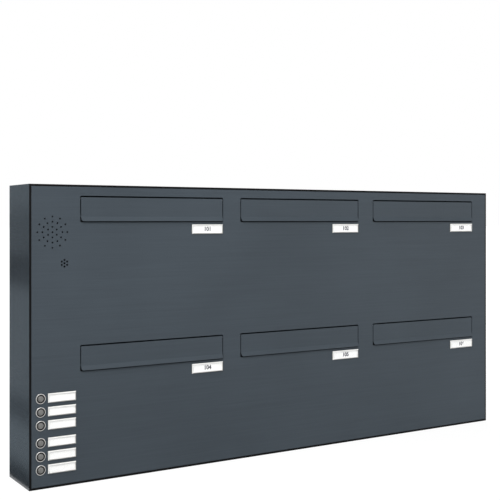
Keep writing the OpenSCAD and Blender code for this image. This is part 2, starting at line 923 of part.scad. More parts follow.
module speaker() {
    color(rubber) translate([left_x + speaker_x, panel_back_y, unit_h - speaker_drop])
        rotate([-90, 0, 0]) difference() {
            union() {
                cylinder(d = speaker_d, h = basket_rim_t);
                translate([0, 0, basket_rim_t])
                    cylinder(d1 = speaker_d - 2 * basket_rim_w, d2 = basket_end_d, h = basket_len);
                translate([0, 0, basket_rim_t + basket_len])
                    cylinder(d = magnet_d, h = magnet_len);
            }
            translate([0, 0, -spare])
                cylinder(d = speaker_d - basket_rim_w, h = spare + cone_sink);
            translate([0, 0, cone_sink - 0.01])
                cylinder(d1 = speaker_d - 2 * cone_rim_w, d2 = cone_end_d, h = cone_len);
        }
}

mic_holder_len = 9;
mic_holder_wall = 1.2;
mic_sink = 1.5;

module microphone() {
    color(rubber) translate([left_x + mic_x, panel_back_y, unit_h - mic_drop])
        difference() {
            rod_along_y(mic_holder_d, mic_holder_len);
            translate([0, -spare, 0])
                rod_along_y(mic_holder_d - 2 * mic_holder_wall, spare + mic_sink);
        }
}

board_y = panel_back_y + spacer_h;
board_t = 1.6;
board_x = left_x + speaker_x;
board_top = unit_h - board_drop;
spacer_inset = 5;
spacer_d = 6;
chip_size = [16, 3, 14];
chip_growth = 6;
chip_pitch = 26;
chip_x = -18;
can_d = 9;
can_len = 11;
can_pitch = 18;
can_top = 20;
can_x = 20;

module intercom_board() {
    color([0.10, 0.35, 0.20]) {
        slab(
            [board_x - board_w / 2, board_y, board_top - board_h],
            [board_x + board_w / 2, board_y + board_t, board_top]
        );
        for (s = [-1, 1], z = [board_top - spacer_inset, board_top - board_h + spacer_inset])
            translate([board_x + s * (board_w / 2 - spacer_inset), panel_back_y, z])
                rod_along_y(spacer_d, spacer_h);
        for (k = [0 : 2])
            translate([board_x + chip_x, board_y + board_t, board_top - (k + 1) * chip_pitch])
                cube(chip_size + [k * chip_growth, 0, 0]);
        for (k = [0 : 3])
            translate([board_x + can_x, board_y + board_t, board_top - can_top - k * can_pitch])
                rod_along_y(can_d, can_len);
    }
}

terminal_ways = 8;
terminal_pitch = 6;
terminal_size = [terminal_ways * terminal_pitch, 12, 10];
terminal_rise = 12;
terminal_screw_d = 3.6;
terminal_screw_depth = 3;

module terminal_block() {
    corner = [
        board_x - terminal_size.x / 2, board_y + board_t, board_top - board_h + terminal_rise
    ];
    color([0.15, 0.45, 0.25]) translate(corner) difference() {
        cube(terminal_size);
        for (k = [0 : terminal_ways - 1])
            translate([
                (k + 0.5) * terminal_pitch, terminal_size.y - terminal_screw_depth,
                terminal_size.z / 2
            ]) rod_along_y(terminal_screw_d, terminal_screw_depth + spare);
    }
}

// ---- Service cover and cable entry ----

left_screw_x = left_x + casing_t + cover_flange / 2;
right_screw_x = left_x + bell_column_w - liner_t / 2 - liner_flange / 2;
screw_z = [screw_inset, unit_h / 2, unit_h - screw_inset];
screw_head_t = 2.4;
screw_len = 8;
screw_root = 0.5;
screw_slot = [4, 0.8];
screw_slot_y = 1.2;
grommet_groove_d = cable_d + 5;
grommet_flange_d = cable_d + 11;
grommet_x = (left_screw_x + right_screw_x) / 2;
grommet_lip_t = 2.5;
cover_gap = 0.6;

module cover_screw_holes(x) {
    for (z = screw_z)
        translate([x, rear_y - screw_len, z])
            rod_along_y(screw_d + 2 * hole_clear, screw_len + spare);
}

module service_cover() {
    color(coat) difference() {
        slab(
            [left_x + casing_t + cover_gap, cover_seat_y, floor_z + cover_gap],
            [partition_x(0) - liner_t / 2 - cover_gap, rear_y, ceiling_z - cover_gap]
        );
        cover_screw_holes(left_screw_x);
        cover_screw_holes(right_screw_x);
        translate([grommet_x, cover_seat_y - spare, cable_z])
            rod_along_y(grommet_groove_d + 2 * run_clear, casing_t + 2 * spare);
    }
}

module cover_screws() {
    color(steel) for (x = [left_screw_x, right_screw_x], z = screw_z)
        translate([x, rear_y, z]) {
            difference() {
                rotate([-90, 0, 0])
                    cylinder(d1 = 2 * screw_d, d2 = 1.5 * screw_d, h = screw_head_t);
                for (a = [0, 90])
                    rotate([0, a, 0])
                        slab(
                            [-screw_slot[0] / 2, screw_slot_y, -screw_slot[1] / 2],
                            [screw_slot[0] / 2, screw_head_t + spare, screw_slot[1] / 2]
                        );
            }
            translate([0, -screw_len, 0]) rod_along_y(screw_d, screw_len + screw_root);
        }
}

module cable_grommet() {
    total = casing_t + 2 * grommet_lip_t;
    color(rubber) translate([grommet_x, cover_seat_y - grommet_lip_t, cable_z]) difference() {
        union() {
            rod_along_y(grommet_flange_d, grommet_lip_t);
            rod_along_y(grommet_groove_d, total);
            translate([0, total - grommet_lip_t, 0]) rod_along_y(grommet_flange_d, grommet_lip_t);
        }
        translate([0, -spare, 0]) rod_along_y(cable_d, total + 2 * spare);
    }
}

// ---- Rivets ----

rivet_head_d = 1.75 * rivet_d;
rivet_top_d = rivet_head_d - 2;
rivet_head_t = 1.2;

// A rivet that is flush outside and has its head inside, pointing up
module flush_rivet(grip) {
    cylinder(d = rivet_d, h = grip + rivet_head_t / 2);
    translate([0, 0, grip]) cylinder(d1 = rivet_head_d, d2 = rivet_top_d, h = rivet_head_t);
}

module casing_rivets() {
    corner_x = unit_w / 2 - casing_t - corner_flange / 2;
    color(zinc) {
        for (s = [-1, 1], y = rivet_y) {
            translate([s * corner_x, y, 0]) flush_rivet(2 * casing_t);
            translate([s * corner_x, y, unit_h]) mirror([0, 0, 1]) flush_rivet(2 * casing_t);
        }
        for (i = [0 : columns], y = rivet_y) {
            x = partition_x(i) - partition_rivet_offset;
            translate([x, y, 0]) flush_rivet(casing_t + liner_t);
            translate([x, y, unit_h]) mirror([0, 0, 1]) flush_rivet(casing_t + liner_t);
        }
        for (i = [0 : columns], y = rivet_y, z = shelf_rivet_z) shelf_rivet(i, y, z);
    }
}

// A rivet through a partition and the shelf flanges on its sides
module shelf_rivet(i, y, z) {
    to_left = liner_t / 2 + (i > 0 ? liner_t : 0);
    to_right = liner_t / 2 + (i < columns ? liner_t : 0);
    translate([partition_x(i) - to_left, y, z]) rotate([0, 90, 0]) {
        translate([0, 0, -rivet_head_t])
            cylinder(d1 = rivet_top_d, d2 = rivet_head_d, h = rivet_head_t);
        translate([0, 0, -rivet_head_t / 2])
            cylinder(d = rivet_d, h = to_left + to_right + rivet_head_t);
        translate([0, 0, to_left + to_right])
            cylinder(d1 = rivet_head_d, d2 = rivet_top_d, h = rivet_head_t);
    }
}

// ---- Rear doors ----

module door(n) {
    c = column_of(n);
    r = row_of(n);
    color(coat) difference() {
        tray(
            [door_x0(c), rear_y - door_return, door_z0(r)],
            [door_x1(c), rear_y, door_z1(r)], door_t
        );
        translate([lock_x(c), rear_y - door_t - spare, lock_z(r)])
            rod_along_y(barrel_d + 2 * hole_clear, door_t + 2 * spare);
        for (z = [door_z0(r) - spare, door_z1(r) - door_t - spare])
            translate([hinge_x(c), hinge_y, z])
                cylinder(d = pin_d + 2 * run_clear, h = door_t + 2 * spare);
    }
}

// One pin at each level: at the floor, through each shelf and at the ceiling
module door_pins() {
    collar_t = door_gap - seat_clear;
    color(steel) for (c = [0 : columns - 1]) translate([hinge_x(c), hinge_y, 0]) {
        translate([0, 0, floor_z]) {
            cylinder(d = collar_d, h = collar_t);
            cylinder(d = pin_d, h = door_gap + pin_reach);
        }
        translate([0, 0, ceiling_z]) mirror([0, 0, 1]) {
            cylinder(d = collar_d, h = collar_t);
            cylinder(d = pin_d, h = door_gap + pin_reach);
        }
        for (r = [1 : rows - 1]) translate([0, 0, shelf_z(r)]) {
            cylinder(d = pin_d, h = liner_t + 2 * (door_gap + pin_reach), center = true);
            for (s = [0, 1]) mirror([0, 0, s])
                translate([0, 0, liner_t / 2]) cylinder(d = collar_d, h = collar_t);
        }
    }
}

// ---- Locks ----

plug_shoulder_d = plug_d + 3;
plug_shoulder_t = 1;
plug_sink = 0.1;
plug_play = 0.1;
rosette_bevel = 0.8;
rosette_root = 1;
key_slot_w = 1.8;
key_slot_h = 8.4;
key_slot_depth = 8;
cam_nut_af = 8;
cam_nut_t = 2.4;
cam_nut_root = 0.1;

module lock_body(n) {
    c = column_of(n);
    r = row_of(n);
    nut_y = rear_y - door_t - lock_nut_t;
    color(steel) {
        translate([lock_x(c), 0, lock_z(r)]) difference() {
            union() {
                translate([0, rear_y - barrel_len, 0])
                    rod_along_y(barrel_d, barrel_len + rosette_root);
                translate([0, rear_y, 0]) rod_along_y(rosette_d, rosette_t - rosette_bevel);
                translate([0, rear_y + rosette_t - rosette_bevel, 0]) rotate([-90, 0, 0])
                    cylinder(
                        d1 = rosette_d, d2 = rosette_d - 2 * rosette_bevel, h = rosette_bevel
                    );
            }
            translate([0, rear_y - barrel_len - spare, 0])
                rod_along_y(plug_d + 2 * run_clear, barrel_len + rosette_t + 2 * spare);
            translate([0, rear_y + rosette_t - plug_sink - plug_shoulder_t - plug_play, 0])
                rod_along_y(plug_shoulder_d + 2 * run_clear, plug_shoulder_t + spare);
        }
        translate([lock_x(c), nut_y, lock_z(r)]) difference() {
            hex_along_y(lock_nut_af, lock_nut_t);
            translate([0, -spare, 0])
                rod_along_y(barrel_d + 2 * run_clear, lock_nut_t + 2 * spare);
        }
    }
}

// The plug with its key slot, and the cam behind it; the cam hangs down when unlocked
module lock_cam(n) {
    face_y = rear_y + rosette_t - plug_sink;
    cam_y = rear_y - barrel_len - seat_clear - cam_t;
    color(steel) translate([lock_x(column_of(n)), 0, lock_z(row_of(n))]) {
        difference() {
            union() {
                translate([0, cam_y, 0]) rod_along_y(plug_d, face_y - cam_y);
                translate([0, face_y - plug_shoulder_t, 0])
                    rod_along_y(plug_shoulder_d, plug_shoulder_t);
            }
            slab(
                [-key_slot_w / 2, face_y - key_slot_depth, -key_slot_h / 2],
                [key_slot_w / 2, face_y + spare, key_slot_h / 2]
            );
        }
        translate([0, cam_y, 0]) rod_along_y(cam_w, cam_t);
        slab([-cam_w / 2, cam_y, -cam_reach], [cam_w / 2, cam_y + cam_t, 0]);
        translate([0, cam_y - cam_nut_t, 0])
            hex_along_y(cam_nut_af, cam_nut_t + cam_nut_root);
    }
}

module lock_strikes() {
    color(zinc) for (n = all_n)
        translate([partition_x(column_of(n) + 1) - liner_t / 2, 0, lock_z(row_of(n))]) {
            slab(
                [-liner_t, strike_y + liner_t - strike_foot, -strike_h / 2],
                [0, strike_y + liner_t, strike_h / 2]
            );
            slab(
                [-strike_tab, strike_y, -strike_h / 2],
                [0, strike_y + liner_t, strike_h / 2]
            );
        }
}

casing_left();
casing_right();
casing_top();
casing_bottom();
front_panel();
partitions();
shelves();
slot_sills();
rubber_buffers();
flap_brackets();
flap_rods();
nameplate_holders();
nameplate_covers();
bell_label_holders();
bell_label_covers();
label_cards();
button_housings();
button_nuts();
button_springs();
speaker();
microphone();
intercom_board();
terminal_block();
service_cover();
cover_screws();
cable_grommet();
casing_rivets();
panel_fixings();
door_pins();
lock_strikes();
flap(0);  // flap_1
flap(1);  // flap_2
flap(2);  // flap_3
flap(3);  // flap_4
flap(4);  // flap_5
flap(5);  // flap_6
door(0);  // door_1
door(1);  // door_2
door(2);  // door_3
door(3);  // door_4
door(4);  // door_5
door(5);  // door_6
lock_body(0);  // lock_body_1
lock_body(1);  // lock_body_2
lock_body(2);  // lock_body_3
lock_body(3);  // lock_body_4
lock_body(4);  // lock_body_5
lock_body(5);  // lock_body_6
lock_cam(0);  // lock_cam_1
lock_cam(1);  // lock_cam_2
lock_cam(2);  // lock_cam_3
lock_cam(3);  // lock_cam_4
lock_cam(4);  // lock_cam_5
lock_cam(5);  // lock_cam_6
bell_button(0);  // bell_button_1
bell_button(1);  // bell_button_2
bell_button(2);  // bell_button_3
bell_button(3);  // bell_button_4
bell_button(4);  // bell_button_5
bell_button(5);  // bell_button_6
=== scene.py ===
"""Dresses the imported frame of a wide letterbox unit: coated sheet metal, letter flaps,
labels, bell buttons, speech holes, rear doors and locks."""

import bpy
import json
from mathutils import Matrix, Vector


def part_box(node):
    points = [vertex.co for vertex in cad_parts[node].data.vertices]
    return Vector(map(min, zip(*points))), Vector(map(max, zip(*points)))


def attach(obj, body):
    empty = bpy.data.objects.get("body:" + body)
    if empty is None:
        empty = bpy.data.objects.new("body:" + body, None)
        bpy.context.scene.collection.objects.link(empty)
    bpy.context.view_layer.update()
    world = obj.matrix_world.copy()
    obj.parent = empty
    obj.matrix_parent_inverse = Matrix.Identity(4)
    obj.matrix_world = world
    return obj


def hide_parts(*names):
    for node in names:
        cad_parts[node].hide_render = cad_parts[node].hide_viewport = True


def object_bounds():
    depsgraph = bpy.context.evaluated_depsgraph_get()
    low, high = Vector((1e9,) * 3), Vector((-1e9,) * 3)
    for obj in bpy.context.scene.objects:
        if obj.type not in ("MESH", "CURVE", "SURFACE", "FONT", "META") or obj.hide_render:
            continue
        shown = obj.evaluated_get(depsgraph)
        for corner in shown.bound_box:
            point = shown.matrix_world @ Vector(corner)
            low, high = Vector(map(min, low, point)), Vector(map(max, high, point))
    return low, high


bl_info = {
    "name": "Cluster mailbox unit",
    "version": (1, 0, 0),
    "blender": (4, 5, 0),
    "location": "3D View > Sidebar > Mailbox",
    "description": "Dresses the packed frame of a wide letterbox unit",
    "category": "Object",
}

import functools
import json
import math

import bmesh
import bpy
from bpy.props import FloatProperty, FloatVectorProperty, IntProperty, PointerProperty
from mathutils import Matrix, Vector

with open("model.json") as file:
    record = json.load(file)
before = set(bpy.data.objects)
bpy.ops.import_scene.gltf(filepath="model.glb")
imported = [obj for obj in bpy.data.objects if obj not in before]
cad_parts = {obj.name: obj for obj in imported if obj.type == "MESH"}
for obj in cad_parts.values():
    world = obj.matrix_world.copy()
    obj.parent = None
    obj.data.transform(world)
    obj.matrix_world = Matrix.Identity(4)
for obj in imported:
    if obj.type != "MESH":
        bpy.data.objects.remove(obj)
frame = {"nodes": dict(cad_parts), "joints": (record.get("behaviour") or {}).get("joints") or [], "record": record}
CAD_BOX = [[float(v) for v in corner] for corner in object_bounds()]
MM = 0.001
WELD = 0.002 * MM  # corners closer than this become one corner
QUARTER = math.pi / 2
ROOMS = range(1, 7)
BELLS = range(1, 7)


def box(node):
    """A node's lowest and highest corners as two vectors."""
    lo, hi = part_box(node)
    return Vector(lo), Vector(hi)


def joint(name):
    """The record's entry for one joint."""
    return next(j for j in frame["joints"] if j["name"] == name)


PANEL_LO, PANEL_HI = box("front_panel")
FLAP_LO, FLAP_HI = box("flap_1")
ROD_AXIS = Vector(joint("flap_1_hinge")["pos_m"])


# ---------------------------------------------------------------- node trees


class Wire:
    """One value in a node tree. Python's operators add the nodes that work on it."""

    def __init__(self, sheet, socket):
        self.sheet = sheet
        self.socket = socket

    def maths(self, operation, *values):
        """A Math node that works on the given values."""
        return self.sheet.add("ShaderNodeMath", {"operation": operation}, values)

    def __add__(self, other):
        return self.maths("ADD", self, other)

    def __radd__(self, other):
        return self.maths("ADD", other, self)

    def __sub__(self, other):
        return self.maths("SUBTRACT", self, other)

    def __rsub__(self, other):
        return self.maths("SUBTRACT", other, self)

    def __mul__(self, other):
        return self.maths("MULTIPLY", self, other)

    def __rmul__(self, other):
        return self.maths("MULTIPLY", other, self)

    def __truediv__(self, other):
        return self.maths("DIVIDE", self, other)

    def __rtruediv__(self, other):
        return self.maths("DIVIDE", other, self)

    def absolute(self):
        """The value without its sign."""
        return self.maths("ABSOLUTE", self)

    def highest(self, other):
        """The higher of two values."""
        return self.maths("MAXIMUM", self, other)

    def along(self, axis):
        """One axis of a vector."""
        return self.sheet.add("ShaderNodeSeparateXYZ", None, [self], axis)

    def other(self, name):
        """Another output of the node that this value comes from."""
        return Wire(self.sheet, self.socket.node.outputs[name])

    def ramped(self, low, high, to_low=0.0, to_high=1.0):
        """The value eased from one range to another."""
        return self.sheet.add(
            "ShaderNodeMapRange",
            {"interpolation_type": "SMOOTHSTEP"},
            {"Value": self, "From Min": low, "From Max": high, "To Min": to_low, "To Max": to_high},
        )


def with_alpha(colour):
    """A plain colour made opaque, or a wire as it is."""
    return colour if isinstance(colour, Wire) else (*colour, 1.0)


class Sheet:
    """A node tree that is written with one method."""

    def __init__(self, tree):
        self.tree = tree

    def add(self, kind, settings=None, inputs=None, output=0):
        """Adds a node: first its settings, then the values or links of its sockets. A list
        of wires all goes into one socket, from its top down."""
        node = self.tree.nodes.new(kind)
        for key, value in (settings or {}).items():
            if key == "stops":
                while len(node.color_ramp.elements) < len(value):
                    node.color_ramp.elements.new(1.0)
                for stop, (place, colour) in zip(node.color_ramp.elements, value):
                    stop.position = place
                    stop.color = with_alpha(colour)
            else:
                setattr(node, key, value)
        pairs = inputs.items() if isinstance(inputs, dict) else enumerate(inputs or ())
        for key, value in pairs:
            wires = value if isinstance(value, list) else [value]
            if isinstance(wires[0], Wire):
                for wire in reversed(wires):
                    self.tree.links.new(wire.socket, node.inputs[key])
            elif value is not None:
                node.inputs[key].default_value = value
        return Wire(self, node.outputs[output]) if len(node.outputs) else None

    def backdrop_rays(self):
        """One for rays that see the backdrop: the camera's, and those off gloss or through
        clear plastic."""
        path = self.add("ShaderNodeLightPath", None, None, "Is Camera Ray")
        return path.highest(path.other("Is Glossy Ray")).highest(path.other("Is Transmission Ray"))


class Finish(Sheet):
    """A material in the making, with its pattern helpers."""

    def __init__(self, name):
        self.material = bpy.data.materials.new(name)
        self.material.use_nodes = True
        self.material.node_tree.nodes.clear()
        super().__init__(self.material.node_tree)
        self.place = self.add("ShaderNodeTexCoord", output="Object")

    def stretched(self, scale, turn=(0.0, 0.0, 0.0)):
        """The object's coordinates, stretched and turned."""
        return self.add(
            "ShaderNodeMapping", None, {"Vector": self.place, "Scale": scale, "Rotation": turn}
        )

    def noise(self, scale, detail=3.0, at=None, roughness=0.5):
        """Soft noise from 0 to 1, with the given number of blots in a metre."""
        return self.add(
            "ShaderNodeTexNoise",
            None,
            {"Vector": at or self.place, "Scale": scale, "Detail": detail, "Roughness": roughness},
        )

    def cells(self, scale, output="Distance", feature="F1"):
        """Irregular cells, with the given number of them in a metre."""
        return self.add(
            "ShaderNodeTexVoronoi",
            {"feature": feature},
            {"Vector": self.place, "Scale": scale},
            output,
        )

    def mixed(self, amount, first, second):
        """A colour between two others."""
        sockets = {0: amount, 6: with_alpha(first), 7: with_alpha(second)}
        return self.add("ShaderNodeMix", {"data_type": "RGBA"}, sockets, 2)

    def bumped(self, height, depth, strength):
        """A normal that follows a height from 0 to 1, as deep as given."""
        return self.add(
            "ShaderNodeBump", None, {"Height": height, "Distance": depth, "Strength": strength}
        )

    def finished(self, colour, **sockets):
        """Ends the tree in one Principled shader and returns the material."""
        names = {"specular": "Specular IOR Level", "ior": "IOR"}
        inputs = {names.get(key, key.capitalize()): value for key, value in sockets.items()}
        inputs["Base Color"] = with_alpha(colour)
        return self.ended(self.add("ShaderNodeBsdfPrincipled", None, inputs))

    def ended(self, shader):
        """Ends the tree in that shader and returns the material."""
        self.add("ShaderNodeOutputMaterial", None, {"Surface": shader})
        return self.material


# ---------------------------------------------------------------- finishes


def shades(colour, low, high):
    """A darker and a lighter shade of a colour."""
    return [[min(1.0, share * c) for c in colour] for share in (low, high)]


def coat_finish(
    name, colour, streaks, along=(4.0, 4.0, 300.0), rough=0.42, specular=0.1, relief=0.55
):
    """Satin powder coat: fine orange peel, soft clouds, level streaks where wanted, and
    a dull film of dust on what faces up."""
    f = Finish(name)
    peel = f.noise(700.0, 2.0)
    grain = f.noise(2600.0, 1.0)
    cloud = f.noise(3.0, 3.0)
    long_lines = f.noise(1.0, 4.0, f.stretched(along), 0.6)
    fine_lines = f.noise(1.0, 2.0, f.stretched([3.0 * v for v in along]), 0.5)
    lines = 0.6 * long_lines + 0.4 * fine_lines
    tone = 0.5 + (cloud - 0.5) * 0.5 + (lines - 0.5) * streaks + (grain - 0.5) * 0.35
    dust = f.place.other("Normal").along("Z").ramped(0.6, 0.95)
    height = peel + 0.25 * grain + (lines - 0.5) * (0.5 * streaks)
    return f.finished(
        colour=f.mixed(tone.ramped(0.0, 1.0), *shades(colour, 0.72, 1.28)),
        roughness=rough + 0.08 * cloud + 0.06 * lines + dust * (0.66 - rough),
        specular=specular,
        normal=f.bumped(height, 0.04 * MM, relief),
    )


def zinc_finish(name):
    """Galvanised sheet: large dull crystals of slightly different grey."""
    f = Finish(name)
    crystals = f.cells(130.0, "Color")
    shade = f.add("ShaderNodeSeparateColor", None, [crystals])
    frost = f.noise(420.0, 4.0, roughness=0.7)
    scratch = f.noise(1.0, 3.0, f.stretched((25.0, 900.0, 25.0)))
    tone = 0.55 * shade + 0.3 * frost + 0.15 * scratch
    return f.finished(
        colour=f.mixed(tone.ramped(0.2, 0.8), (0.40, 0.41, 0.43), (0.66, 0.67, 0.69)),
        metallic=0.9,
        roughness=0.34 + 0.22 * shade + 0.08 * frost,
        normal=f.bumped(frost + 0.5 * scratch, 0.02 * MM, 0.5),
    )


def steel_finish(name, colour, along, rough=0.26):
    """Brushed stainless steel with fine lines one way and a few faint scuffs."""
    f = Finish(name)
    lines = f.noise(1.0, 4.0, f.stretched(along), 0.65)
    scuffs = f.noise(260.0, 5.0, roughness=0.75)
    tone = 0.75 * lines + 0.25 * scuffs
    return f.finished(
        colour=f.mixed(tone.ramped(0.25, 0.75), *shades(colour, 0.78, 1.16)),
        metallic=1.0,
        roughness=rough + 0.14 * tone,
        normal=f.bumped(lines, 0.015 * MM, 0.6),
    )


def grained_finish(name, colour, scale):
    """Fine-grained metal face, such as a blasted plunger."""
    f = Finish(name)
    grain = f.cells(scale)
    speck = f.noise(0.7 * scale, 3.0, roughness=0.7)
    tone = 0.5 * grain.ramped(0.0, 0.6) + 0.5 * speck
    return f.finished(
        colour=f.mixed(tone.ramped(0.2, 0.85), *shades(colour, 0.5, 1.4)),
        metallic=0.85,
        roughness=0.45 + 0.2 * speck,
        normal=f.bumped(grain, 0.08 * MM, 0.8),
    )


def plastic_finish(name, colour, rough=0.5, spread=0.12, scale=900.0, specular=0.35):
    """Moulded plastic or rubber with a fine spark-eroded grain."""
    f = Finish(name)
    grain = f.noise(scale, 3.0, roughness=0.6)
    cloud = f.noise(18.0, 2.0)
    tone = 0.6 * grain + 0.4 * cloud
    return f.finished(
        colour=f.mixed(tone.ramped(0.2, 0.8), *shades(colour, 1.0 - spread, 1.0 + spread)),
        roughness=rough + 0.15 * (grain - 0.5),
        specular=specular,
        normal=f.bumped(grain, 0.03 * MM, 0.5),
    )


def card_finish(name):
    """White card with short paper fibres."""
    f = Finish(name)
    fibres = f.noise(1.0, 4.0, f.stretched((500.0, 500.0, 1500.0), (0.0, 0.5, 0.0)), 0.7)
    return f.finished(
        colour=f.mixed(fibres.ramped(0.3, 0.7), (0.86, 0.86, 0.85), (0.92, 0.92, 0.91)),
        roughness=0.8,
        specular=0.2,
        normal=f.bumped(fibres, 0.01 * MM, 0.3),
    )


def clear_finish(name, edge_colour):
    """Clear acrylic: almost unseen on its front, frosted along its sawn bevels. The bevels that turn up or left
    are painted light and the others painted shade, as if lit from the upper left."""
    f = Finish(name)
    facing = f.place.other("Normal").along("Y")
    bevel = 1.0 - facing.absolute().ramped(0.80, 0.99)
    # painted light and shade: bevels facing up or left keep the frosted colour, the others get a darker copy of it
    painted_light_side = (facing.other("Z") - facing.other("X")).ramped(-0.4, 0.4)
    edge = f.mixed(painted_light_side, [0.45 * c for c in edge_colour], edge_colour)
    saw = f.noise(1.0, 3.0, f.stretched((900.0, 4000.0, 4000.0)))
    return f.finished(
        colour=f.mixed(bevel, (0.95, 0.96, 0.96), edge),
        alpha=0.03 + bevel * (0.83 + 0.12 * saw),
        roughness=0.08 + 0.5 * bevel,
        ior=1.49,
        normal=f.bumped(saw * bevel, 0.02 * MM, 0.4),
    )


def board_finish(name):
    """Green circuit board with paler tracks and small solder spots."""
    f = Finish(name)
    tracks = 1.0 - f.cells(210.0, feature="DISTANCE_TO_EDGE").ramped(0.04, 0.08)
    spots = 1.0 - f.cells(320.0).ramped(0.14, 0.2)
    green = f.mixed(tracks, (0.018, 0.10, 0.045), (0.04, 0.19, 0.09))
    return f.finished(
        colour=f.mixed(spots, green, (0.55, 0.56, 0.58)),
        metallic=0.7 * spots,
        roughness=0.35 + 0.1 * tracks,
        normal=f.bumped(tracks + spots, 0.05 * MM, 0.5),
    )


def make_finishes(coat):
    """Every finish by its material slot's name."""
    tint, streaks = list(coat.colour), coat.streaks
    coats = {
        "casing_coat": dict(
            streaks=0.15, along=(3.0, 3.0, 120.0), rough=0.16, specular=0.25, relief=0.05
        ),
        "panel_coat": dict(streaks=streaks),
        "flap_coat": dict(streaks=0.7 * streaks),
        "door_coat": dict(streaks=0.3 * streaks),
    }
    steels = {
        "stainless": dict(colour=(0.72, 0.71, 0.69), along=(60.0, 900.0, 2600.0)),
        "spring_steel": dict(colour=(0.6, 0.6, 0.6), along=(900.0, 60.0, 900.0), rough=0.3),
    }
    plastics = {
        "rubber": dict(
            colour=(0.007, 0.007, 0.0075), rough=0.8, spread=0.35, scale=500.0, specular=0.04
        ),
        "speaker": dict(
            colour=(0.007, 0.007, 0.008), rough=0.8, spread=0.4, scale=300.0, specular=0.05
        ),
        "label_base": dict(colour=(0.45, 0.44, 0.41)),
        "terminal": dict(colour=(0.04, 0.20, 0.09), rough=0.45),
    }
    return {
        **{name: coat_finish(name, tint, **kind) for name, kind in coats.items()},
        **{name: steel_finish(name, **kind) for name, kind in steels.items()},
        **{name: plastic_finish(name, **kind) for name, kind in plastics.items()},
        "zinc": zinc_finish("zinc"),
        "button_face": grained_finish("button_face", (0.15, 0.15, 0.145), 1500.0),
        "clear_cover": clear_finish("clear_cover", (0.86, 0.86, 0.84)),
        "card": card_finish("card"),
        "board": board_finish("board"),
    }


# ---------------------------------------------------------------- mesh helpers


def piece_from(name, mesh):
    """A new object with that mesh, linked to the scene."""
    obj = bpy.data.objects.new(name, mesh)
    bpy.context.scene.collection.objects.link(obj)
    return obj


def mesh_from(name, bm, smooth=True):
    """Turns bmesh work into a mesh with outward faces."""
    bmesh.ops.recalc_face_normals(bm, faces=bm.faces)
    mesh = bpy.data.meshes.new(name)
    bm.to_mesh(mesh)
    bm.free()
    for face in mesh.polygons:
        face.use_smooth = smooth
    return mesh


def sharpen(mesh, angle):
    """Smooth shading everywhere but across the edges sharper than the angle."""
    mesh.shade_smooth()
    mesh.set_sharp_from_angle(angle=math.radians(angle))


def evaluated(obj):
    """A plain mesh of the object with its modifiers worked in."""
    graph = bpy.context.evaluated_depsgraph_get()
    graph.update()
    return bpy.data.meshes.new_from_object(obj.evaluated_get(graph), depsgraph=graph)


def baked(obj):
    """Works an object's modifiers into its mesh and removes them."""
    mesh = evaluated(obj)
    obj.modifiers.clear()
    obj.data = mesh
    return obj


def evened(obj, angle):
    """Smooth shading that keeps large flat faces flat beside their rounded edges."""
    sharpen(obj.data, angle)
    weighted = obj.modifiers.new("even", "WEIGHTED_NORMAL")
    weighted.mode = "FACE_AREA"
    weighted.weight = 50
    weighted.keep_sharp = True
    return baked(obj)


def welded(meshes):
    """A bmesh of some meshes with their common corners joined."""
    bm = bmesh.new()
    for mesh in meshes:
        bm.from_mesh(mesh)
    bmesh.ops.remove_doubles(bm, verts=bm.verts, dist=WELD)
    return bm


def merged_copy(node):
    """A CAD node's mesh as a welded bmesh with its flat faces joined."""
    bm = welded([frame["nodes"][node].data])
    bmesh.ops.dissolve_limit(
        bm, angle_limit=math.radians(0.6), verts=bm.verts, edges=bm.edges, delimit={"NORMAL"}
    )
    return bm


def is_sharp(edge, angle=30.0):
    """True for an edge between two faces that meet at more than the angle."""
    return len(edge.link_faces) == 2 and edge.calc_face_angle(0.0) > math.radians(angle)


def round_edges(bm, edges, width, segments):
    """Rounds the given edges, if there are any."""
    if edges:
        bmesh.ops.bevel(
            bm,
            geom=edges,
            offset=width,
            offset_type="OFFSET",
            segments=segments,
            profile=0.5,
            affect="EDGES",
            clamp_overlap=True,
            loop_slide=True,
        )


def walled(bm, rings):
    """Joins each ring of corners to the next; a ring of one corner closes its end."""
    for low, high in zip(rings, rings[1:]):
        sides = max(len(low), len(high))
        for k in range(sides):
            n = (k + 1) % sides
            places = ((low, k), (low, n), (high, n), (high, k))
            corners = dict.fromkeys(ring[i % len(ring)] for ring, i in places)
            bm.faces.new(list(corners))


def turned(name, profile, sides, closed=False):
    """A solid turned round the Z axis from (radius, height) points; a closed profile makes
    a ring with a hole."""
    bm = bmesh.new()
    rings = []
    for radius, height in profile:
        angles = [math.tau * k / sides for k in range(sides if radius > WELD else 1)]
        rings.append(
            [bm.verts.new((radius * math.cos(a), radius * math.sin(a), height)) for a in angles]
        )
    walled(bm, rings + rings[:1] if closed else rings)
    return mesh_from(name, bm)


def framed(bm, x0, x1, z0, z1, y):
    """A ring of four corners, upright and facing the front."""
    return [bm.verts.new(c) for c in ((x0, y, z0), (x1, y, z0), (x1, y, z1), (x0, y, z1))]


def new_points(name, places, turns=None):
    """A mesh of loose points, each with the turn that its copy takes."""
    mesh = bpy.data.meshes.new(name)
    mesh.from_pydata([tuple(p) for p in places], [], [])
    turn = mesh.attributes.new("turn", "FLOAT_VECTOR", "POINT")
    for slot, value in zip(turn.data, turns or [(0.0, 0.0, 0.0)] * len(places)):
        slot.vector = value
    return mesh


# ---------------------------------------------------------------- geometry trees

INPUT_TYPES = {
    "length": "NodeSocketFloat",
    "count": "NodeSocketInt",
    "object": "NodeSocketObject",
    "material": "NodeSocketMaterial",
}
# depth, height and width of a strip become Y, Z and X
UPRIGHT = Matrix(((0, 0, 1), (1, 0, 0), (0, 1, 0))).to_euler()


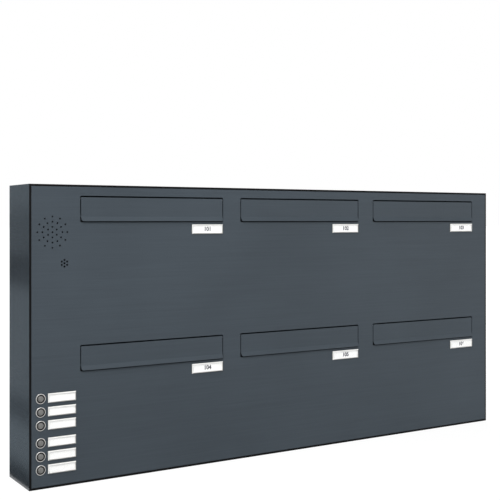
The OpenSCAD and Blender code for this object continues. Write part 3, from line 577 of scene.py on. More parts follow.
class Recipe(Sheet):
    """A geometry tree with named inputs."""

    def __init__(self, name, inputs):
        super().__init__(bpy.data.node_groups.new(name, "GeometryNodeTree"))
        new_socket = self.tree.interface.new_socket
        for way in ("INPUT", "OUTPUT"):
            new_socket("Geometry", in_out=way, socket_type="NodeSocketGeometry")
        self.names = {}
        for label, kind in {**inputs, "Finish": "material"}.items():
            item = new_socket(label, in_out="INPUT", socket_type=INPUT_TYPES[kind])
            self.names[label] = item.identifier
        self.given = self.add("NodeGroupInput", None, None, "Geometry")

    def ask(self, label):
        """The wire of a named input."""
        return self.given.other(label)

    def close(self, geometry):
        """Ends the tree in real geometry with the asked material."""
        real = self.add("GeometryNodeRealizeInstances", None, [geometry])
        painted = {"Geometry": real, "Material": self.ask("Finish")}
        self.add("NodeGroupOutput", None, [self.add("GeometryNodeSetMaterial", None, painted)])
        return self

    def applied(self, name, mesh, slot, **values):
        """Runs the recipe on a mesh and returns a plain object with the slot's finish."""
        obj = piece_from(name, mesh)
        modifier = obj.modifiers.new("recipe", "NODES")
        modifier.node_group = self.tree
        for label, value in {"finish": FINISHES[slot], **values}.items():
            modifier[self.names[label.replace("_", " ").capitalize()]] = value
        return baked(obj)


@functools.cache
def copies_recipe():
    """Sets a copy of one piece on each point, turned as the point says."""
    r = Recipe("Copies on points", {"Pattern piece": "object", "Size": "length"})
    pattern = r.add(
        "GeometryNodeObjectInfo",
        {"transform_space": "ORIGINAL"},
        {"Object": r.ask("Pattern piece"), "As Instance": True},
        "Geometry",
    )
    turn = r.add(
        "GeometryNodeInputNamedAttribute", {"data_type": "FLOAT_VECTOR"}, {"Name": "turn"}
    )
    placed = {
        "Points": r.add("GeometryNodeMeshToPoints", None, {"Mesh": r.given}),
        "Instance": pattern,
        "Rotation": r.add("FunctionNodeEulerToRotation", None, [turn]),
        "Scale": r.add("ShaderNodeCombineXYZ", None, [r.ask("Size")] * 3),
    }
    return r.close(r.add("GeometryNodeInstanceOnPoints", None, placed))


@functools.cache
def strip_recipe():
    """Bends a strip of sheet along a path that is drawn as depth and height."""
    r = Recipe(
        "Bent strip", {"Width": "length", "Thickness": "length", "Bend radius": "length"}
    )
    path = r.add("GeometryNodeMeshToCurve", None, {"Mesh": r.given})
    path = r.add(
        "GeometryNodeFilletCurve",
        {"mode": "POLY"},
        {"Curve": path, "Radius": r.ask("Bend radius"), "Limit Radius": True, "Count": 5},
    )
    path = r.add("GeometryNodeSetCurveNormal", {"mode": "Z_UP"}, {"Curve": path})
    section = r.add(
        "GeometryNodeCurvePrimitiveQuadrilateral",
        {"mode": "RECTANGLE"},
        {"Width": r.ask("Thickness"), "Height": r.ask("Width")},
    )
    bent = r.add(
        "GeometryNodeCurveToMesh",
        None,
        {"Curve": path, "Profile Curve": section, "Fill Caps": True},
    )
    return r.close(r.add("GeometryNodeTransform", None, {"Geometry": bent, "Rotation": UPRIGHT}))


@functools.cache
def grille_recipe():
    """Rounded rims for speech holes: one in the middle and up to three rings round it."""
    lengths = {"Ring spacing": "length", "Hole diameter": "length", "Rim width": "length"}
    counts = {f"Holes in ring {k}": "count" for k in (1, 2, 3)}
    r = Recipe("Speech holes", {**lengths, **counts})
    parts = [r.add("GeometryNodeMeshLine", None, {"Count": 1})]
    for k in (1, 2, 3):
        count = r.ask(f"Holes in ring {k}")
        ring = r.add(
            "GeometryNodeMeshCircle",
            None,
            {"Vertices": count.highest(3), "Radius": r.ask("Ring spacing") * k},
        )
        wanted = r.add(
            "FunctionNodeCompare",
            {"data_type": "INT", "operation": "GREATER_THAN"},
            {2: count, 3: 2},
        )
        choice = {"Switch": wanted, "True": ring}
        parts.append(r.add("GeometryNodeSwitch", {"input_type": "GEOMETRY"}, choice))
    holes = r.add("GeometryNodeJoinGeometry", None, {"Geometry": parts})
    points = r.add("GeometryNodeMeshToPoints", None, {"Mesh": holes})
    wire_r = r.ask("Rim width") / 2
    rim = r.add(
        "GeometryNodeCurvePrimitiveCircle",
        None,
        {"Resolution": 20, "Radius": r.ask("Hole diameter") / 2 + wire_r},
    )
    section = r.add(
        "GeometryNodeCurvePrimitiveCircle", None, {"Resolution": 8, "Radius": wire_r}
    )
    torus = r.add("GeometryNodeCurveToMesh", None, {"Curve": rim, "Profile Curve": section})
    flat = r.add("GeometryNodeTransform", None, {"Geometry": torus, "Scale": (1.0, 1.0, 0.45)})
    return r.close(
        r.add("GeometryNodeInstanceOnPoints", None, {"Points": points, "Instance": flat})
    )


FINISHES = {}


def repeated(name, pattern, places, turns, slot):
    """Copies of one pattern mesh as a single plain object; the pattern is used up."""
    holder = piece_from(name + "_pattern", pattern)
    points = new_points(name + "_points", places, turns)
    obj = copies_recipe().applied(name, points, slot, pattern_piece=holder, size=1.0)
    bpy.data.objects.remove(holder)
    return obj


def solids_of(node, count):
    """The boxes of a node's separate solids, from the top left to the lower right."""
    bm = welded([frame["nodes"][node].data])
    left, groups = set(bm.verts), []
    while left:
        stack, seen = [left.pop()], []
        while stack:
            v = stack.pop()
            seen.append(v.co.copy())
            for e in v.link_edges:
                o = e.other_vert(v)
                if o in left:
                    left.remove(o)
                    stack.append(o)
        groups.append(seen)
    bm.free()
    if len(groups) != count:
        raise RuntimeError(f"{node} has {len(groups)} solids")
    boxes = [
        tuple(Vector([end(c[i] for c in g) for i in range(3)]) for end in (min, max))
        for g in groups
    ]
    return sorted(boxes, key=lambda b: (-round(b[0].z, 4), round(b[0].x, 4), b[0].y))


def bent_strips(name, points, places, slot, **sizes):
    """Copies of one strip, bent along (depth, height) points, as a welded bmesh."""
    path = bpy.data.meshes.new(name + "_path")
    links = [(k, k + 1) for k in range(len(points) - 1)]
    path.from_pydata([(y, z, 0.0) for y, z in points], links, [])
    strip = strip_recipe().applied(name, path, slot, **sizes)
    copies = [strip.data.copy() for _ in places]
    for copy, place in zip(copies, places):
        copy.transform(Matrix.Translation(place))
    bpy.data.objects.remove(strip)
    return welded(copies)


def dressed(obj, body, slot, *nodes):
    """Hands a finished piece to its body and slot, and lets it stand for CAD nodes."""
    if not obj.data.materials:
        obj.data.materials.append(FINISHES[slot])
    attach(obj, body)
    if nodes:
        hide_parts(*nodes)
    return obj


def softened(node, name, body, slot, width, rounds, segments=2):
    """A copy of a CAD node with its sharp edges rounded, which stands for the node.

    Each of rounds names some edges that are rounded first: a test, a radius and its steps."""
    bm = merged_copy(node)
    for chosen, radius, steps in rounds:
        round_edges(bm, [e for e in bm.edges if is_sharp(e) and chosen(e)], radius, steps)
    round_edges(bm, [e for e in bm.edges if is_sharp(e, 50.0)], width, segments)
    obj = piece_from(name, mesh_from(name, bm))
    return dressed(evened(obj, 50.0), body, slot, node)


# ---------------------------------------------------------------- settings


class CoatSettings(bpy.types.PropertyGroup):
    colour: FloatVectorProperty(
        name="Coat colour",
        description="Colour of the powder coat",
        default=(0.0465, 0.0583, 0.0700),
        subtype="COLOR",
        min=0.0,
        max=1.0,
    )
    streaks: FloatProperty(
        name="Streaks",
        description="Strength of the level streaks on the front",
        default=0.55,
        subtype="FACTOR",
        min=0.0,
        max=1.0,
    )
    edge: FloatProperty(
        name="Edge rounding", description="Rounding of the sheets' cut edges",
        default=0.3 * MM, unit="LENGTH", precision=5,
    )
    fold: FloatProperty(
        name="Fold radius", description="Outer radius of the folded edges",
        default=1.6 * MM, unit="LENGTH", precision=5,
    )


class FlapSettings(bpy.types.PropertyGroup):
    thickness: FloatProperty(
        name="Sheet thickness", description="Thickness of a flap's sheet",
        default=1.5 * MM, unit="LENGTH", precision=5,
    )
    lip_height: FloatProperty(
        name="Lip height", description="Height of the lip that is bent outward",
        default=9.0 * MM, unit="LENGTH", precision=5,
    )
    bend: FloatProperty(
        name="Bend radius", description="Radius of the bend above the lip",
        default=2.5 * MM, unit="LENGTH", precision=5,
    )
    corner: FloatProperty(
        name="Lip corner radius", description="Radius of the lip's two lower corners",
        default=4.0 * MM, unit="LENGTH", precision=5,
    )
    knuckle: FloatProperty(
        name="Knuckle length", description="Length of a rolled knuckle on the rod",
        default=12.0 * MM, unit="LENGTH", precision=5,
    )


class LabelSettings(bpy.types.PropertyGroup):
    first_number: IntProperty(
        name="First number",
        description="Number on the first nameplate; the others follow",
        default=101,
        min=0,
    )
    number_height: FloatProperty(
        name="Number height", description="Height of the numbers on the nameplates",
        default=9.0 * MM, unit="LENGTH", precision=5,
    )
    bevel: FloatProperty(
        name="Cover bevel", description="Width of the sawn bevel round a clear cover",
        default=1.8 * MM, unit="LENGTH", precision=5,
    )


class ButtonSettings(bpy.types.PropertyGroup):
    groove: FloatProperty(
        name="Groove diameter", description="Diameter of the dark ring inside a button's rim",
        default=17.0 * MM, unit="LENGTH", precision=5,
    )
    dome: FloatProperty(
        name="Dome", description="Height of the plunger's slightly domed face",
        default=0.35 * MM, unit="LENGTH", precision=5,
    )


class GrilleSettings(bpy.types.PropertyGroup):
    spacing: FloatProperty(
        name="Ring spacing", description="Distance between the rings of loudspeaker holes",
        default=10.3 * MM, unit="LENGTH", precision=5,
    )
    mic_spacing: FloatProperty(
        name="Microphone ring", description="Radius of the ring of microphone holes",
        default=6.5 * MM, unit="LENGTH", precision=5,
    )
    hole: FloatProperty(
        name="Hole diameter", description="Diameter of a speech hole",
        default=3.6 * MM, unit="LENGTH", precision=5,
    )
    rim: FloatProperty(
        name="Rim width", description="Width of the rounded rim that the coat leaves round a hole",
        default=0.4 * MM, unit="LENGTH", precision=5,
    )


class StageSettings(bpy.types.PropertyGroup):
    world: FloatProperty(
        name="Room light", description="Even light from all round", default=0.33, min=0.0
    )
    key: FloatProperty(
        name="Key lamp",
        description="Power of the large lamp at the upper left",
        default=105.0, unit="POWER", min=0.0,
    )
    fill: FloatProperty(
        name="Fill lamp",
        description="Power of the lamp at the right",
        default=20.0, unit="POWER", min=0.0,
    )
    back: FloatProperty(
        name="Back lamp",
        description="Power of the lamp behind the unit",
        default=60.0, unit="POWER", min=0.0,
    )
    floor: FloatVectorProperty(
        name="Floor colour",
        description="Colour of the floor",
        default=(0.80, 0.80, 0.80),
        subtype="COLOR",
        min=0.0,
        max=1.0,
    )


class MailboxSettings(bpy.types.PropertyGroup):
    """All of the unit's settings."""

    coat: PointerProperty(type=CoatSettings)
    flap: PointerProperty(type=FlapSettings)
    label: PointerProperty(type=LabelSettings)
    button: PointerProperty(type=ButtonSettings)
    grille: PointerProperty(type=GrilleSettings)
    stage: PointerProperty(type=StageSettings)


# ---------------------------------------------------------------- operators


class MAILBOX_OT_finishes(bpy.types.Operator):
    """Makes the finishes and gives each CAD node the finish of its slot"""

    bl_idname = "mailbox.finishes"
    bl_label = "Finishes"

    def execute(self, context):
        FINISHES.update(make_finishes(context.scene.mailbox.coat))
        for part in frame["record"]["subparts"]:
            node = frame["nodes"][part["node"]]
            for slot in node.material_slots:
                slot.material = FINISHES[part["material_slot"]]
        return {"FINISHED"}


class MAILBOX_OT_casing(bpy.types.Operator):
    """Rounds the edges of the casing's sheets and the service cover"""

    bl_idname = "mailbox.casing"
    bl_label = "Casing"

    def execute(self, context):
        edge_width = context.scene.mailbox.coat.edge
        lo, hi = box("casing_left")[0], box("casing_right")[1]
        corner_r, near = 0.6 * MM, 0.1 * MM
        shortest = 0.3 * (hi.z - lo.z)

        def upright_corner(edge):
            a, b = (v.co for v in edge.verts)
            return min(abs(a.x - lo.x), abs(a.x - hi.x)) < near and abs(a.z - b.z) > shortest

        corners = [(upright_corner, corner_r, 3)]
        for node, rounds in (
            ("casing_left", corners),
            ("casing_right", corners),
            ("casing_top", []),
            ("casing_bottom", []),
            ("service_cover", []),
        ):
            softened(node, node + "_sheet", "unit", "casing_coat", edge_width, rounds)
        return {"FINISHED"}


class MAILBOX_OT_front(bpy.types.Operator):
    """Gives the front sheet its folded edges and softened cut-outs"""

    bl_idname = "mailbox.front"
    bl_label = "Front sheet"

    def execute(self, context):
        fold_r = context.scene.mailbox.coat.fold
        cut_edge, near = 0.2 * MM, 0.02 * MM

        def outer_fold(edge):
            ends = [v.co for v in edge.verts]
            sides = [(0, PANEL_LO.x), (0, PANEL_HI.x), (2, PANEL_LO.z), (2, PANEL_HI.z)]
            on_face = all(abs(c.y - PANEL_LO.y) < near for c in ends)
            return on_face and any(all(abs(c[i] - at) < near for c in ends) for i, at in sides)

        rounds = [(outer_fold, fold_r, 4)]
        softened("front_panel", "front_sheet", "unit", "panel_coat", cut_edge, rounds, 1)
        return {"FINISHED"}


class MAILBOX_OT_seals(bpy.types.Operator):
    """Lays black strips in the front sheet's gap and in the sills behind the flaps' lips: painted shade that makes
    those gaps read dark
    """

    bl_idname = "mailbox.seals"
    bl_label = "Seals"

    def frame_strip(self, edge_y):
        """A strip round the front sheet, in the gap and over the casing's front edge: a black strip that stands in
        for the gap's shade.
        """
        play, hair, set_back = 0.02 * MM, 0.05 * MM, 0.1 * MM
        thick, leg = 1.4 * MM, 6.0 * MM
        chamfer_w, chamfer_h = 0.3 * MM, 0.25 * MM
        gap = PANEL_LO.x - box("casing_left")[0].x
        wall = box("casing_top")[1].z - PANEL_HI.z
        reach = min(gap, wall) - set_back
        inner = reach - thick
        front = PANEL_LO.y + set_back
        back = edge_y - play
        foot = edge_y + leg
        bm = bmesh.new()
        rings = [
            framed(bm, PANEL_LO.x - out, PANEL_HI.x + out, PANEL_LO.z - out, PANEL_HI.z + out, y)
            for out, y in (
                (hair, front), (reach - chamfer_w, front), (reach, front + chamfer_h),
                (reach, back), (inner, back), (inner, foot), (hair, foot),
            )
        ]
        walled(bm, rings + rings[:1])
        return mesh_from("frame_strip", bm)

    def linings(self):
        """Thin black strips that line the troughs behind the flaps' lips: painted shade for the dark line under
        each lip.
        """
        sills = solids_of("slot_sills", 6)
        lo, hi = sills[0]
        thick, leg, sheet, overlap = 0.4 * MM, 10.0 * MM, 1.5 * MM, 3.0 * MM
        front_play, side_play = 0.1 * MM, 1.0 * MM
        foot = lo.z + leg + thick / 2
        wall = hi.y - sheet - thick / 2
        bm = bent_strips(
            "sill_lining",
            [(lo.y + front_play, foot), (wall, foot), (wall, hi.z - overlap)],
            [((near.x + far.x) / 2, 0.0, near.z - lo.z) for near, far in sills],
            "rubber",
            width=hi.x - lo.x - 2 * side_play,
            thickness=thick,
            bend_radius=0.3 * MM,
        )
        return mesh_from("sill_linings", bm)

    def execute(self, context):
        strip = piece_from("frame_strip", self.frame_strip(box("casing_left")[0].y))
        dressed(evened(strip, 30.0), "unit", "rubber")
        shade_lining = piece_from("sill_linings", self.linings())
        dressed(evened(shade_lining, 40.0), "unit", "rubber")
        return {"FINISHED"}


class MAILBOX_OT_grilles(bpy.types.Operator):
    """Sets the rounded rims on the loudspeaker's and the microphone's holes"""

    bl_idname = "mailbox.grilles"
    bl_label = "Speech holes"

    def execute(self, context):
        grille = context.scene.mailbox.grille
        groups = (
            ("speaker", grille.spacing, (6, 12, 12), "panel_coat"),
            # the microphone's hole rims on the front sheet take the black speaker finish, not the coat: painted
            # shade that makes its holes read dark
            ("microphone", grille.mic_spacing, (6, 0, 0), "speaker"),
        )
        for node, spacing, counts, slot in groups:
            lo, hi = box(node)
            centre = (lo + hi) / 2
            rims = grille_recipe().applied(
                node + "_hole_rims",
                new_points("seed", [(0.0, 0.0, 0.0)]),
                slot,
                ring_spacing=spacing,
                hole_diameter=grille.hole,
                rim_width=grille.rim,
                **{f"holes_in_ring_{k}": count for k, count in enumerate(counts, 1)},
            )
            # the rings start level with the hole that the first ring has at its top
            turn = Matrix.Rotation(QUARTER, 4, "X") @ Matrix.Rotation(QUARTER, 4, "Z")
            rims.data.transform(Matrix.Translation((centre.x, PANEL_LO.y, centre.z)) @ turn)
            dressed(rims, "unit", slot)
        return {"FINISHED"}


class MAILBOX_OT_flaps(bpy.types.Operator):
    """Bends the letter flaps with their lips and rolls their knuckles round the rods"""

    bl_idname = "mailbox.flaps"
    bl_label = "Letter flaps"

    def sheet(self, flap, coat):
        """One flap's bent sheet in the place of the first flap."""
        half = flap.thickness / 2
        reach = PANEL_LO.y - FLAP_LO.y
        lean = math.atan2(reach, flap.lip_height)
        foot = FLAP_LO.z + flap.thickness * math.sin(lean)
        across = Vector((math.cos(lean), -math.sin(lean))) * half
        bm = bent_strips(
            "flap_sheet",
            [
                (PANEL_LO.y + half, FLAP_HI.z),
                (PANEL_LO.y + half, foot + flap.lip_height - half * math.tan(lean / 2)),
                (PANEL_LO.y - reach + across.x, foot + across.y),
            ],
            [((FLAP_LO.x + FLAP_HI.x) / 2, 0.0, 0.0)],
            "flap_coat",
            width=FLAP_HI.x - FLAP_LO.x,
            thickness=flap.thickness,
            bend_radius=flap.bend,
        )
        short = [
            e
            for e in bm.edges
            if abs(e.calc_length() - flap.thickness) < 0.01 * MM
            and abs(e.verts[0].co.x - e.verts[1].co.x) < WELD / 2
        ]
        near, top_corner = 0.2 * MM, 1.0 * MM
        low = [e for e in short if max(v.co.z for v in e.verts) < foot + near]
        high = [e for e in short if min(v.co.z for v in e.verts) > FLAP_HI.z - near]
        round_edges(bm, low, flap.corner, 6)
        round_edges(bm, high, top_corner, 3)
        round_edges(bm, [e for e in bm.edges if is_sharp(e, 60.0)], coat.edge, 2)
        return mesh_from("flap_sheet", bm)

    def knuckles(self, flap):
        """One flap's rolled knuckles in the place of the first flap."""
        radius = FLAP_HI.z - ROD_AXIS.z - flap.thickness / 2
        set_back, end_play = 0.3 * MM, 1.0 * MM
        points = [(PANEL_LO.y + set_back, ROD_AXIS.z + radius)]
        steps = 12
        for a in (QUARTER - 3 * QUARTER * k / steps for k in range(steps + 1)):
            points.append((ROD_AXIS.y + radius * math.cos(a), ROD_AXIS.z + radius * math.sin(a)))
        inset = flap.knuckle / 2 + end_play
        middle = (FLAP_LO.x + FLAP_HI.x) / 2
        bm = bent_strips(
            "flap_knuckle",
            points,
            [(x, 0.0, 0.0) for x in (FLAP_LO.x + inset, middle, FLAP_HI.x - inset)],
            "flap_coat",
            width=flap.knuckle,
            thickness=flap.thickness,
            bend_radius=0.0,
        )
        return mesh_from("flap_knuckles", bm)

    def execute(self, context):
        settings = context.scene.mailbox
        sheet = self.sheet(settings.flap, settings.coat)
        knuckles = self.knuckles(settings.flap)
        for flap in (f"flap_{n}" for n in ROOMS):
            move = Matrix.Translation(box(flap)[0] - FLAP_LO)
            for name, mesh, nodes in (("plate", sheet, [flap]), ("knuckles", knuckles, [])):
                own = mesh.copy()
                own.transform(move)
                piece = evened(piece_from(f"{flap}_{name}", own), 50.0)
                dressed(piece, flap, "flap_coat", *nodes)
        return {"FINISHED"}


class MAILBOX_OT_labels(bpy.types.Operator):
    """Makes the nameplates and bell labels: base, card, number and clear cover"""

    bl_idname = "mailbox.labels"
    bl_label = "Labels"

    def stepped(self, size, rows):
        """A closed block whose outline is taken in as its (depth, amount) rows say."""
        bm = bmesh.new()
        rings = []
        for y, take in rows:
            x, z = size[0] / 2 - take, size[2] / 2 - take
            rings.append(framed(bm, -x, x, -z, z, y))
        walled(bm, rings)
        bm.faces.new(rings[0])
        bm.faces.new(rings[-1])
        return bm

    def block(self, size, inset, flat, roundness):
        """A block standing out to -Y whose front is taken in on all sides."""
        bm = self.stepped(size, [(0.0, 0.0), (-flat, 0.0), (-size[1], inset)])
        round_edges(bm, [e for e in bm.edges if is_sharp(e, 20.0)], roundness, 2)
        return mesh_from("block", bm)

    def tray(self, size, wall, floor, roundness):
        """A base with a shallow pocket for the card."""
        bm = self.stepped(size, [(0.0, 0.0), (-size[1], 0.0), (-size[1], wall), (-floor, wall)])
        outside = (size[0] - wall) / 2
        outer = [e for e in bm.edges if is_sharp(e) and max(abs(v.co.x) for v in e.verts) > outside]
        round_edges(bm, outer, roundness, 2)
        return mesh_from("tray", bm)

    def execute(self, context):
        label = context.scene.mailbox.label
        wall = 1.2 * MM
        margin = 1.1 * wall
        card_t, card_depth, hair = 0.35 * MM, 0.37 * MM, 0.02 * MM
        for kind in ("nameplate", "bell_label"):
            bases = solids_of(kind + "_holders", 6)
            cover_lo, cover_hi = solids_of(kind + "_covers", 6)[0]
            size, cover_size = bases[0][1] - bases[0][0], cover_hi - cover_lo
            fronts = [Vector(((lo.x + hi.x) / 2, lo.y, (lo.z + hi.z) / 2)) for lo, hi in bases]
            backs = [p + Vector((0.0, size.y, 0.0)) for p in fronts]
            seats = [p + Vector((0.0, card_depth, 0.0)) for p in fronts]
            card_size = (size.x - 2 * margin, card_t, size.z - 2 * margin)
            base = self.tray(size, wall, 0.75 * size.y, 0.25 * MM)
            card = self.block(card_size, hair, 0.3 * MM, hair)
            cover = self.block(cover_size, label.bevel, 0.12 * cover_size.y, 0.12 * MM)
            for name, mesh, places, slot, node in (
                ("bases", base, backs, "label_base", kind + "_holders"),
                ("cards", card, seats, "card", "label_cards"),
                ("covers", cover, fronts, "clear_cover", kind + "_covers"),
            ):
                obj = repeated(f"{kind}_{name}", mesh, places, None, slot)
                sharpen(obj.data, 12.0)
                dressed(obj, "unit", slot, node)
            if kind == "nameplate":
                printed = Vector((0.0, card_t + hair / 2, 0.0))
                self.numbers(label, [p - printed for p in seats])
        return {"FINISHED"}

    def numbers(self, label, places):
        """Plain printed numbers on the nameplates' cards."""
        size_per_height, ink_t, boldness = 1.35, 0.005 * MM, 0.5 * MM
        bm = bmesh.new()
        for number, place in enumerate(places, label.first_number):
            text = bpy.data.curves.new("number", "FONT")
            text.body = str(number)
            text.size = label.number_height * size_per_height
            text.align_x = text.align_y = "CENTER"
            text.extrude = ink_t
            text.offset = boldness
            holder = piece_from("number", text)
            mesh = evaluated(holder)
            mesh.transform(Matrix.Translation(place) @ Matrix.Rotation(QUARTER, 4, "X"))
            bm.from_mesh(mesh)
            bpy.data.objects.remove(holder)
        obj = piece_from("nameplate_numbers", mesh_from("nameplate_numbers", bm, False))
        ink = Finish("ink")
        colour = ink.mixed(ink.noise(3000.0), (0.006, 0.007, 0.022), (0.016, 0.018, 0.045))
        obj.data.materials.append(ink.finished(colour, roughness=0.7, specular=0.1))
        dressed(obj, "unit", "card")


class MAILBOX_OT_buttons(bpy.types.Operator):
    """Turns the bell buttons: polished rim and housing, dark ring, grey collar and plunger"""

    bl_idname = "mailbox.buttons"
    bl_label = "Bell buttons"

    def execute(self, context):
        button = context.scene.mailbox.button
        lo, hi = box("button_housings")
        plug_lo, plug_hi = box("bell_button_1")
        rim_r = (hi.x - lo.x) / 2
        plug_r = (plug_hi.x - plug_lo.x) / 2
        play = 0.02 * MM
        # heights are counted outward from the front sheet
        height, tail = PANEL_LO.y - lo.y, PANEL_LO.y - hi.y
        face, back = PANEL_LO.y - plug_lo.y, PANEL_LO.y - plug_hi.y
        bore = plug_r + 0.08 * MM
        groove = button.groove / 2
        body = rim_r - 2.0 * MM
        seat = height - 1.6 * MM
        crest = rim_r - 0.8 * MM
        base = seat + 0.05 * MM
        outer = groove - play
        collar_r = bore + 1.1 * MM
        rim = [
            (bore, tail),
            (body, tail),
            (body, 0.0),
            (rim_r, 0.0),
            (rim_r, height - 0.9 * MM),
            (rim_r - 0.15 * MM, height - 0.4 * MM),
            (rim_r - 0.4 * MM, height - 0.08 * MM),
            (crest, height),
            (crest - 0.4 * MM, height - 0.08 * MM),
            (groove + 0.15 * MM, height - 0.35 * MM),
            (groove, height - 0.8 * MM),
            (groove, seat),
            (bore, seat),
        ]
        dark_ring = [
            (collar_r, base),
            (outer, base),
            (outer, height - 0.75 * MM),
            (outer - 0.4 * MM, height - 0.95 * MM),
            (collar_r, height - 0.95 * MM),
        ]
        collar = [
            (bore, base),
            (collar_r - play, base),
            (collar_r - play, height - 0.75 * MM),
            (collar_r - 0.2 * MM, height - 0.55 * MM),
            (bore + 0.15 * MM, height - 0.55 * MM),
            (bore, height - 0.7 * MM),
        ]
        places = []
        for i in BELLS:
            middle = sum(box(f"bell_button_{i}"), Vector()) / 2
            places.append(Vector((middle.x, PANEL_LO.y, middle.z)))
        outward = Matrix.Rotation(QUARTER, 4, "X")
        for name, profile, slot, nodes in (
            ("button_rims", rim, "stainless", ["button_housings"]),
            ("button_rings", dark_ring, "rubber", []),
            ("button_collars", collar, "button_face", []),
        ):
            pattern = turned("ring", profile, 56, closed=True)
            obj = repeated(name, pattern, places, [outward.to_euler()] * len(places), slot)
            dressed(evened(obj, 50.0), "unit", slot, *nodes)
        stem_r, clip_r, clip_t = 2.0 * MM, 3.5 * MM, 0.8 * MM
        neck = height - 6.0 * MM
        brim = face - button.dome
        crown_r = plug_r - 0.5 * MM
        plunger = [
            (0.0, back),
            (clip_r, back),
            (clip_r, back + clip_t),
            (stem_r, back + clip_t),
            (stem_r, neck),
            (plug_r, neck),
            (plug_r, brim - 0.4 * MM),
            (plug_r - 0.15 * MM, brim - 0.12 * MM),
        ]
        steps = 6
        for a in (QUARTER * k / steps for k in range(steps + 1)):
            plunger.append((crown_r * math.cos(a), brim + button.dome * math.sin(a)))
        for i, place in zip(BELLS, places):
            mesh = turned(f"plunger_{i}", plunger, 48)
            mesh.transform(Matrix.Translation(place) @ outward)
            piece = evened(piece_from(f"bell_button_{i}_plunger", mesh), 50.0)
            dressed(piece, f"bell_button_{i}", "button_face", f"bell_button_{i}")
        return {"FINISHED"}


class MAILBOX_OT_doors(bpy.types.Operator):
    """Rounds the rear doors' folded edges"""

    bl_idname = "mailbox.doors"
    bl_label = "Rear doors"

    def execute(self, context):
        fold_r = context.scene.mailbox.coat.fold
        cut_edge, near, shortest_fold = 0.2 * MM, 0.02 * MM, 20 * MM
        for door in (f"door_{n}" for n in ROOMS):
            rear = box(door)[1].y

            def fold(edge, rear=rear):
                at_rear = all(abs(v.co.y - rear) < near for v in edge.verts)
                return at_rear and edge.calc_length() > shortest_fold

            rounds = [(fold, fold_r, 4)]
            softened(door, door + "_sheet", door, "door_coat", cut_edge, rounds, 1)
        return {"FINISHED"}


class MAILBOX_OT_fasteners(bpy.types.Operator):
    """Sets the domed rivets of the casing, the partitions and the shelves"""

    bl_idname = "mailbox.fasteners"
    bl_label = "Rivets"

    def execute(self, context):
        head_r, rise, skirt, grip = 3.5 * MM, 1.0 * MM, 0.15 * MM, 0.3 * MM
        sunk = 1.2 * MM
        low, high = 50 * MM, CAD_BOX[1][2] - 50 * MM
        heads = []
        for lo, hi in solids_of("casing_rivets", 32):
            x, y, z = (lo + hi) / 2
            if hi.z < low:
                heads.append(((x, y, hi.z - sunk), (0.0, 0.0, 0.0)))
            elif lo.z > high:
                heads.append(((x, y, lo.z + sunk), (math.pi, 0.0, 0.0)))
            else:
                # a shelf's rivet lies level and has a head at each end
                heads.append(((lo.x + sunk, y, z), (0.0, -QUARTER, 0.0)))
                heads.append(((hi.x - sunk, y, z), (0.0, QUARTER, 0.0)))
        steps = 5
        dome = [(0.0, -grip), (head_r, -grip), (head_r, skirt)]
        for a in (QUARTER * k / steps for k in range(1, steps)):
            dome.append((head_r * math.cos(a), skirt + rise * math.sin(a)))
        dome += [(1.0 * MM, 1.12 * MM), (0.9 * MM, 0.85 * MM), (0.0, 0.85 * MM)]
        obj = repeated("rivet_heads", turned("rivet", dome, 24), *zip(*heads), "zinc")
        sharpen(obj.data, 40.0)
        dressed(obj, "unit", "zinc")
        return {"FINISHED"}


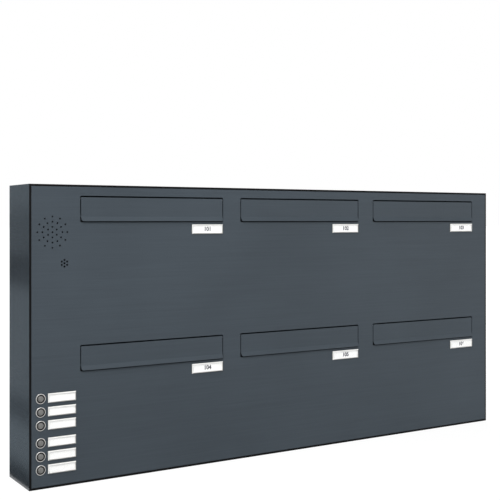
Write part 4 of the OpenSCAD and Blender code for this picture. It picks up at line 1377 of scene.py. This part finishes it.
class MAILBOX_OT_stage(bpy.types.Operator):
    """Sets the floor, the lamps and the camera"""

    bl_idname = "mailbox.stage"
    bl_label = "Stage"

    def execute(self, context):
        stage = context.scene.mailbox.stage
        lo, hi = (Vector(c) for c in CAD_BOX)
        middle = (lo + hi) / 2
        self.floor(stage)
        self.world(stage)
        for name, offset, size in (
            ("key", (-1.4, -2.1, 2.3), 2.0),
            ("fill", (2.2, -2.0, 0.5), 1.8),
            ("back", (1.4, 2.3, 1.6), 2.0),
        ):
            self.lamp(name, middle + Vector(offset), middle, size, getattr(stage, name))
        # a glowing card on each side that paints reflection bands into the casing's gloss
        for side in (-1, 1):
            self.flag(side, middle, (hi.x - lo.x) / 2)
        camera = bpy.data.cameras.new("camera")
        camera.lens = 68.06
        camera.sensor_width = 36.0
        camera.shift_y = -0.0592
        camera.clip_end = 100.0
        holder = bpy.data.objects.new("camera", camera)
        holder.location = (-1.2261, -1.8551, 0.5283)
        holder.rotation_euler = (QUARTER, 0.0, math.radians(-31.82))
        context.scene.collection.objects.link(holder)
        context.scene.camera = holder
        context.scene.view_settings.view_transform = "Standard"
        return {"FINISHED"}

    def floor(self, stage):
        """A wide pale floor that the camera sees as white and that keeps the shadow."""
        reach = 60.0
        near, far, share_near = 0.9, 2.6, 0.72
        mesh = bpy.data.meshes.new("floor")
        corners = [(x * reach, y * reach, 0.0) for x, y in ((-1, -1), (1, -1), (1, 1), (-1, 1))]
        mesh.from_pydata(corners, [], [(0, 1, 2, 3)])
        floor = piece_from("floor", mesh)
        f = Finish("floor")
        colour = f.mixed(f.noise(6.0), [0.98 * c for c in stage.floor], list(stage.floor))
        matt = f.add("ShaderNodeBsdfDiffuse", None, [colour])
        glow = f.add("ShaderNodeEmission", None, [(1.0, 1.0, 1.0, 1.0), 1.14])
        distance = f.add("ShaderNodeVectorMath", {"operation": "LENGTH"}, [f.place], "Value")
        # near the unit the glow leaves a share of the floor's own shade
        white = f.backdrop_rays() * distance.ramped(near, far, share_near, 1.0)
        mesh.materials.append(f.ended(f.add("ShaderNodeMixShader", None, [white, matt, glow])))

    def flag(self, side, middle, half):
        """A dim glowing board and mat beside the unit, seen only in the casing's gloss: painted reflections that
        lay pale and dark bands on the casing's sides.
        """
        gap, depth, top, lift = 0.005, 0.12, 0.75, 0.001
        front, rear = -0.1, 1.0
        near, far = (middle.x + side * (half + out) for out in (gap, depth))
        mesh = bpy.data.meshes.new("flag")
        corners = [(near, lift), (far, lift), (far, top)]
        mesh.from_pydata(
            [(x, y, z) for y in (front, rear) for x, z in corners],
            [],
            [(0, 1, 4, 3), (1, 2, 5, 4)],
        )
        board = piece_from("flag", mesh)
        f = Finish("flag")
        height = f.place.along("Z")
        reach = side * height.other("X") - (side * middle.x + half)
        # pale and dark bands along the mat and up the board, as shares of its whole length: painted reflection
        # bands for the casing's sides
        length = 0.8
        reflection_bands = [
            (0.04, 0.0), (0.09, 1.0), (0.211, 1.0), (0.221, 0.0), (0.271, 0.0), (0.281, 0.8),
            (0.59, 0.8), (0.635, 0.0), (0.692, 0.0), (0.722, 0.42), (0.82, 0.38), (0.87, 0.8),
        ]
        stops = [(at, [light * c for c in (0.35, 0.42, 0.475)]) for at, light in reflection_bands]
        tone = f.add("ShaderNodeValToRGB", {"stops": stops}, [(height + reach) / length])
        mesh.materials.append(f.ended(f.add("ShaderNodeEmission", None, [tone, 1.0])))
        f.material.cycles.emission_sampling = "NONE"
        board.visible_camera = board.visible_diffuse = board.visible_shadow = False

    def world(self, stage):
        """Even light from all round, seen as plain white."""
        world = bpy.data.worlds.new("room")
        world.use_nodes = True
        world.node_tree.nodes.clear()
        s = Sheet(world.node_tree)
        strength = s.backdrop_rays() * (1.0 - stage.world) + stage.world
        white = (1.0, 1.0, 1.0, 1.0)
        light = s.add("ShaderNodeBackground", None, {"Color": white, "Strength": strength})
        s.add("ShaderNodeOutputWorld", None, {"Surface": light})
        bpy.context.scene.world = world

    def lamp(self, name, place, target, size, power):
        """A large soft lamp that faces the unit."""
        light = bpy.data.lights.new(name, "AREA")
        light.size = size
        light.energy = power
        obj = bpy.data.objects.new(name, light)
        obj.location = place
        obj.rotation_euler = (target - place).to_track_quat("-Z", "Y").to_euler()
        bpy.context.scene.collection.objects.link(obj)


class MAILBOX_PT_panel(bpy.types.Panel):
    """Lists the unit's pieces and settings"""

    bl_label = "Cluster mailbox unit"
    bl_idname = "MAILBOX_PT_panel"
    bl_space_type = "VIEW_3D"
    bl_region_type = "UI"
    bl_category = "Mailbox"

    def draw(self, context):
        settings = context.scene.mailbox
        for step in STEPS:
            self.layout.operator(step.bl_idname)
        for name in ("coat", "flap", "label", "button", "grille", "stage"):
            group = getattr(settings, name)
            column = self.layout.column(heading=name.capitalize())
            for key in group.__annotations__:
                column.prop(group, key)


GROUPS = (
    CoatSettings,
    FlapSettings,
    LabelSettings,
    ButtonSettings,
    GrilleSettings,
    StageSettings,
    MailboxSettings,
)
STEPS = (
    MAILBOX_OT_finishes,
    MAILBOX_OT_casing,
    MAILBOX_OT_front,
    MAILBOX_OT_seals,
    MAILBOX_OT_grilles,
    MAILBOX_OT_flaps,
    MAILBOX_OT_labels,
    MAILBOX_OT_buttons,
    MAILBOX_OT_doors,
    MAILBOX_OT_fasteners,
    MAILBOX_OT_stage,
)


def register():
    """Registers the settings, the operators and the panel."""
    for group in (*GROUPS, *STEPS, MAILBOX_PT_panel):
        bpy.utils.register_class(group)
    bpy.types.Scene.mailbox = PointerProperty(type=MailboxSettings)


def unregister():
    """Takes everything off again."""
    del bpy.types.Scene.mailbox
    for group in reversed((*GROUPS, *STEPS, MAILBOX_PT_panel)):
        bpy.utils.unregister_class(group)


def main():
    """Dresses the frame."""
    register()
    for step in STEPS:
        group, name = step.bl_idname.split(".")
        getattr(getattr(bpy.ops, group), name)()


if __name__ == "__main__":
    main()
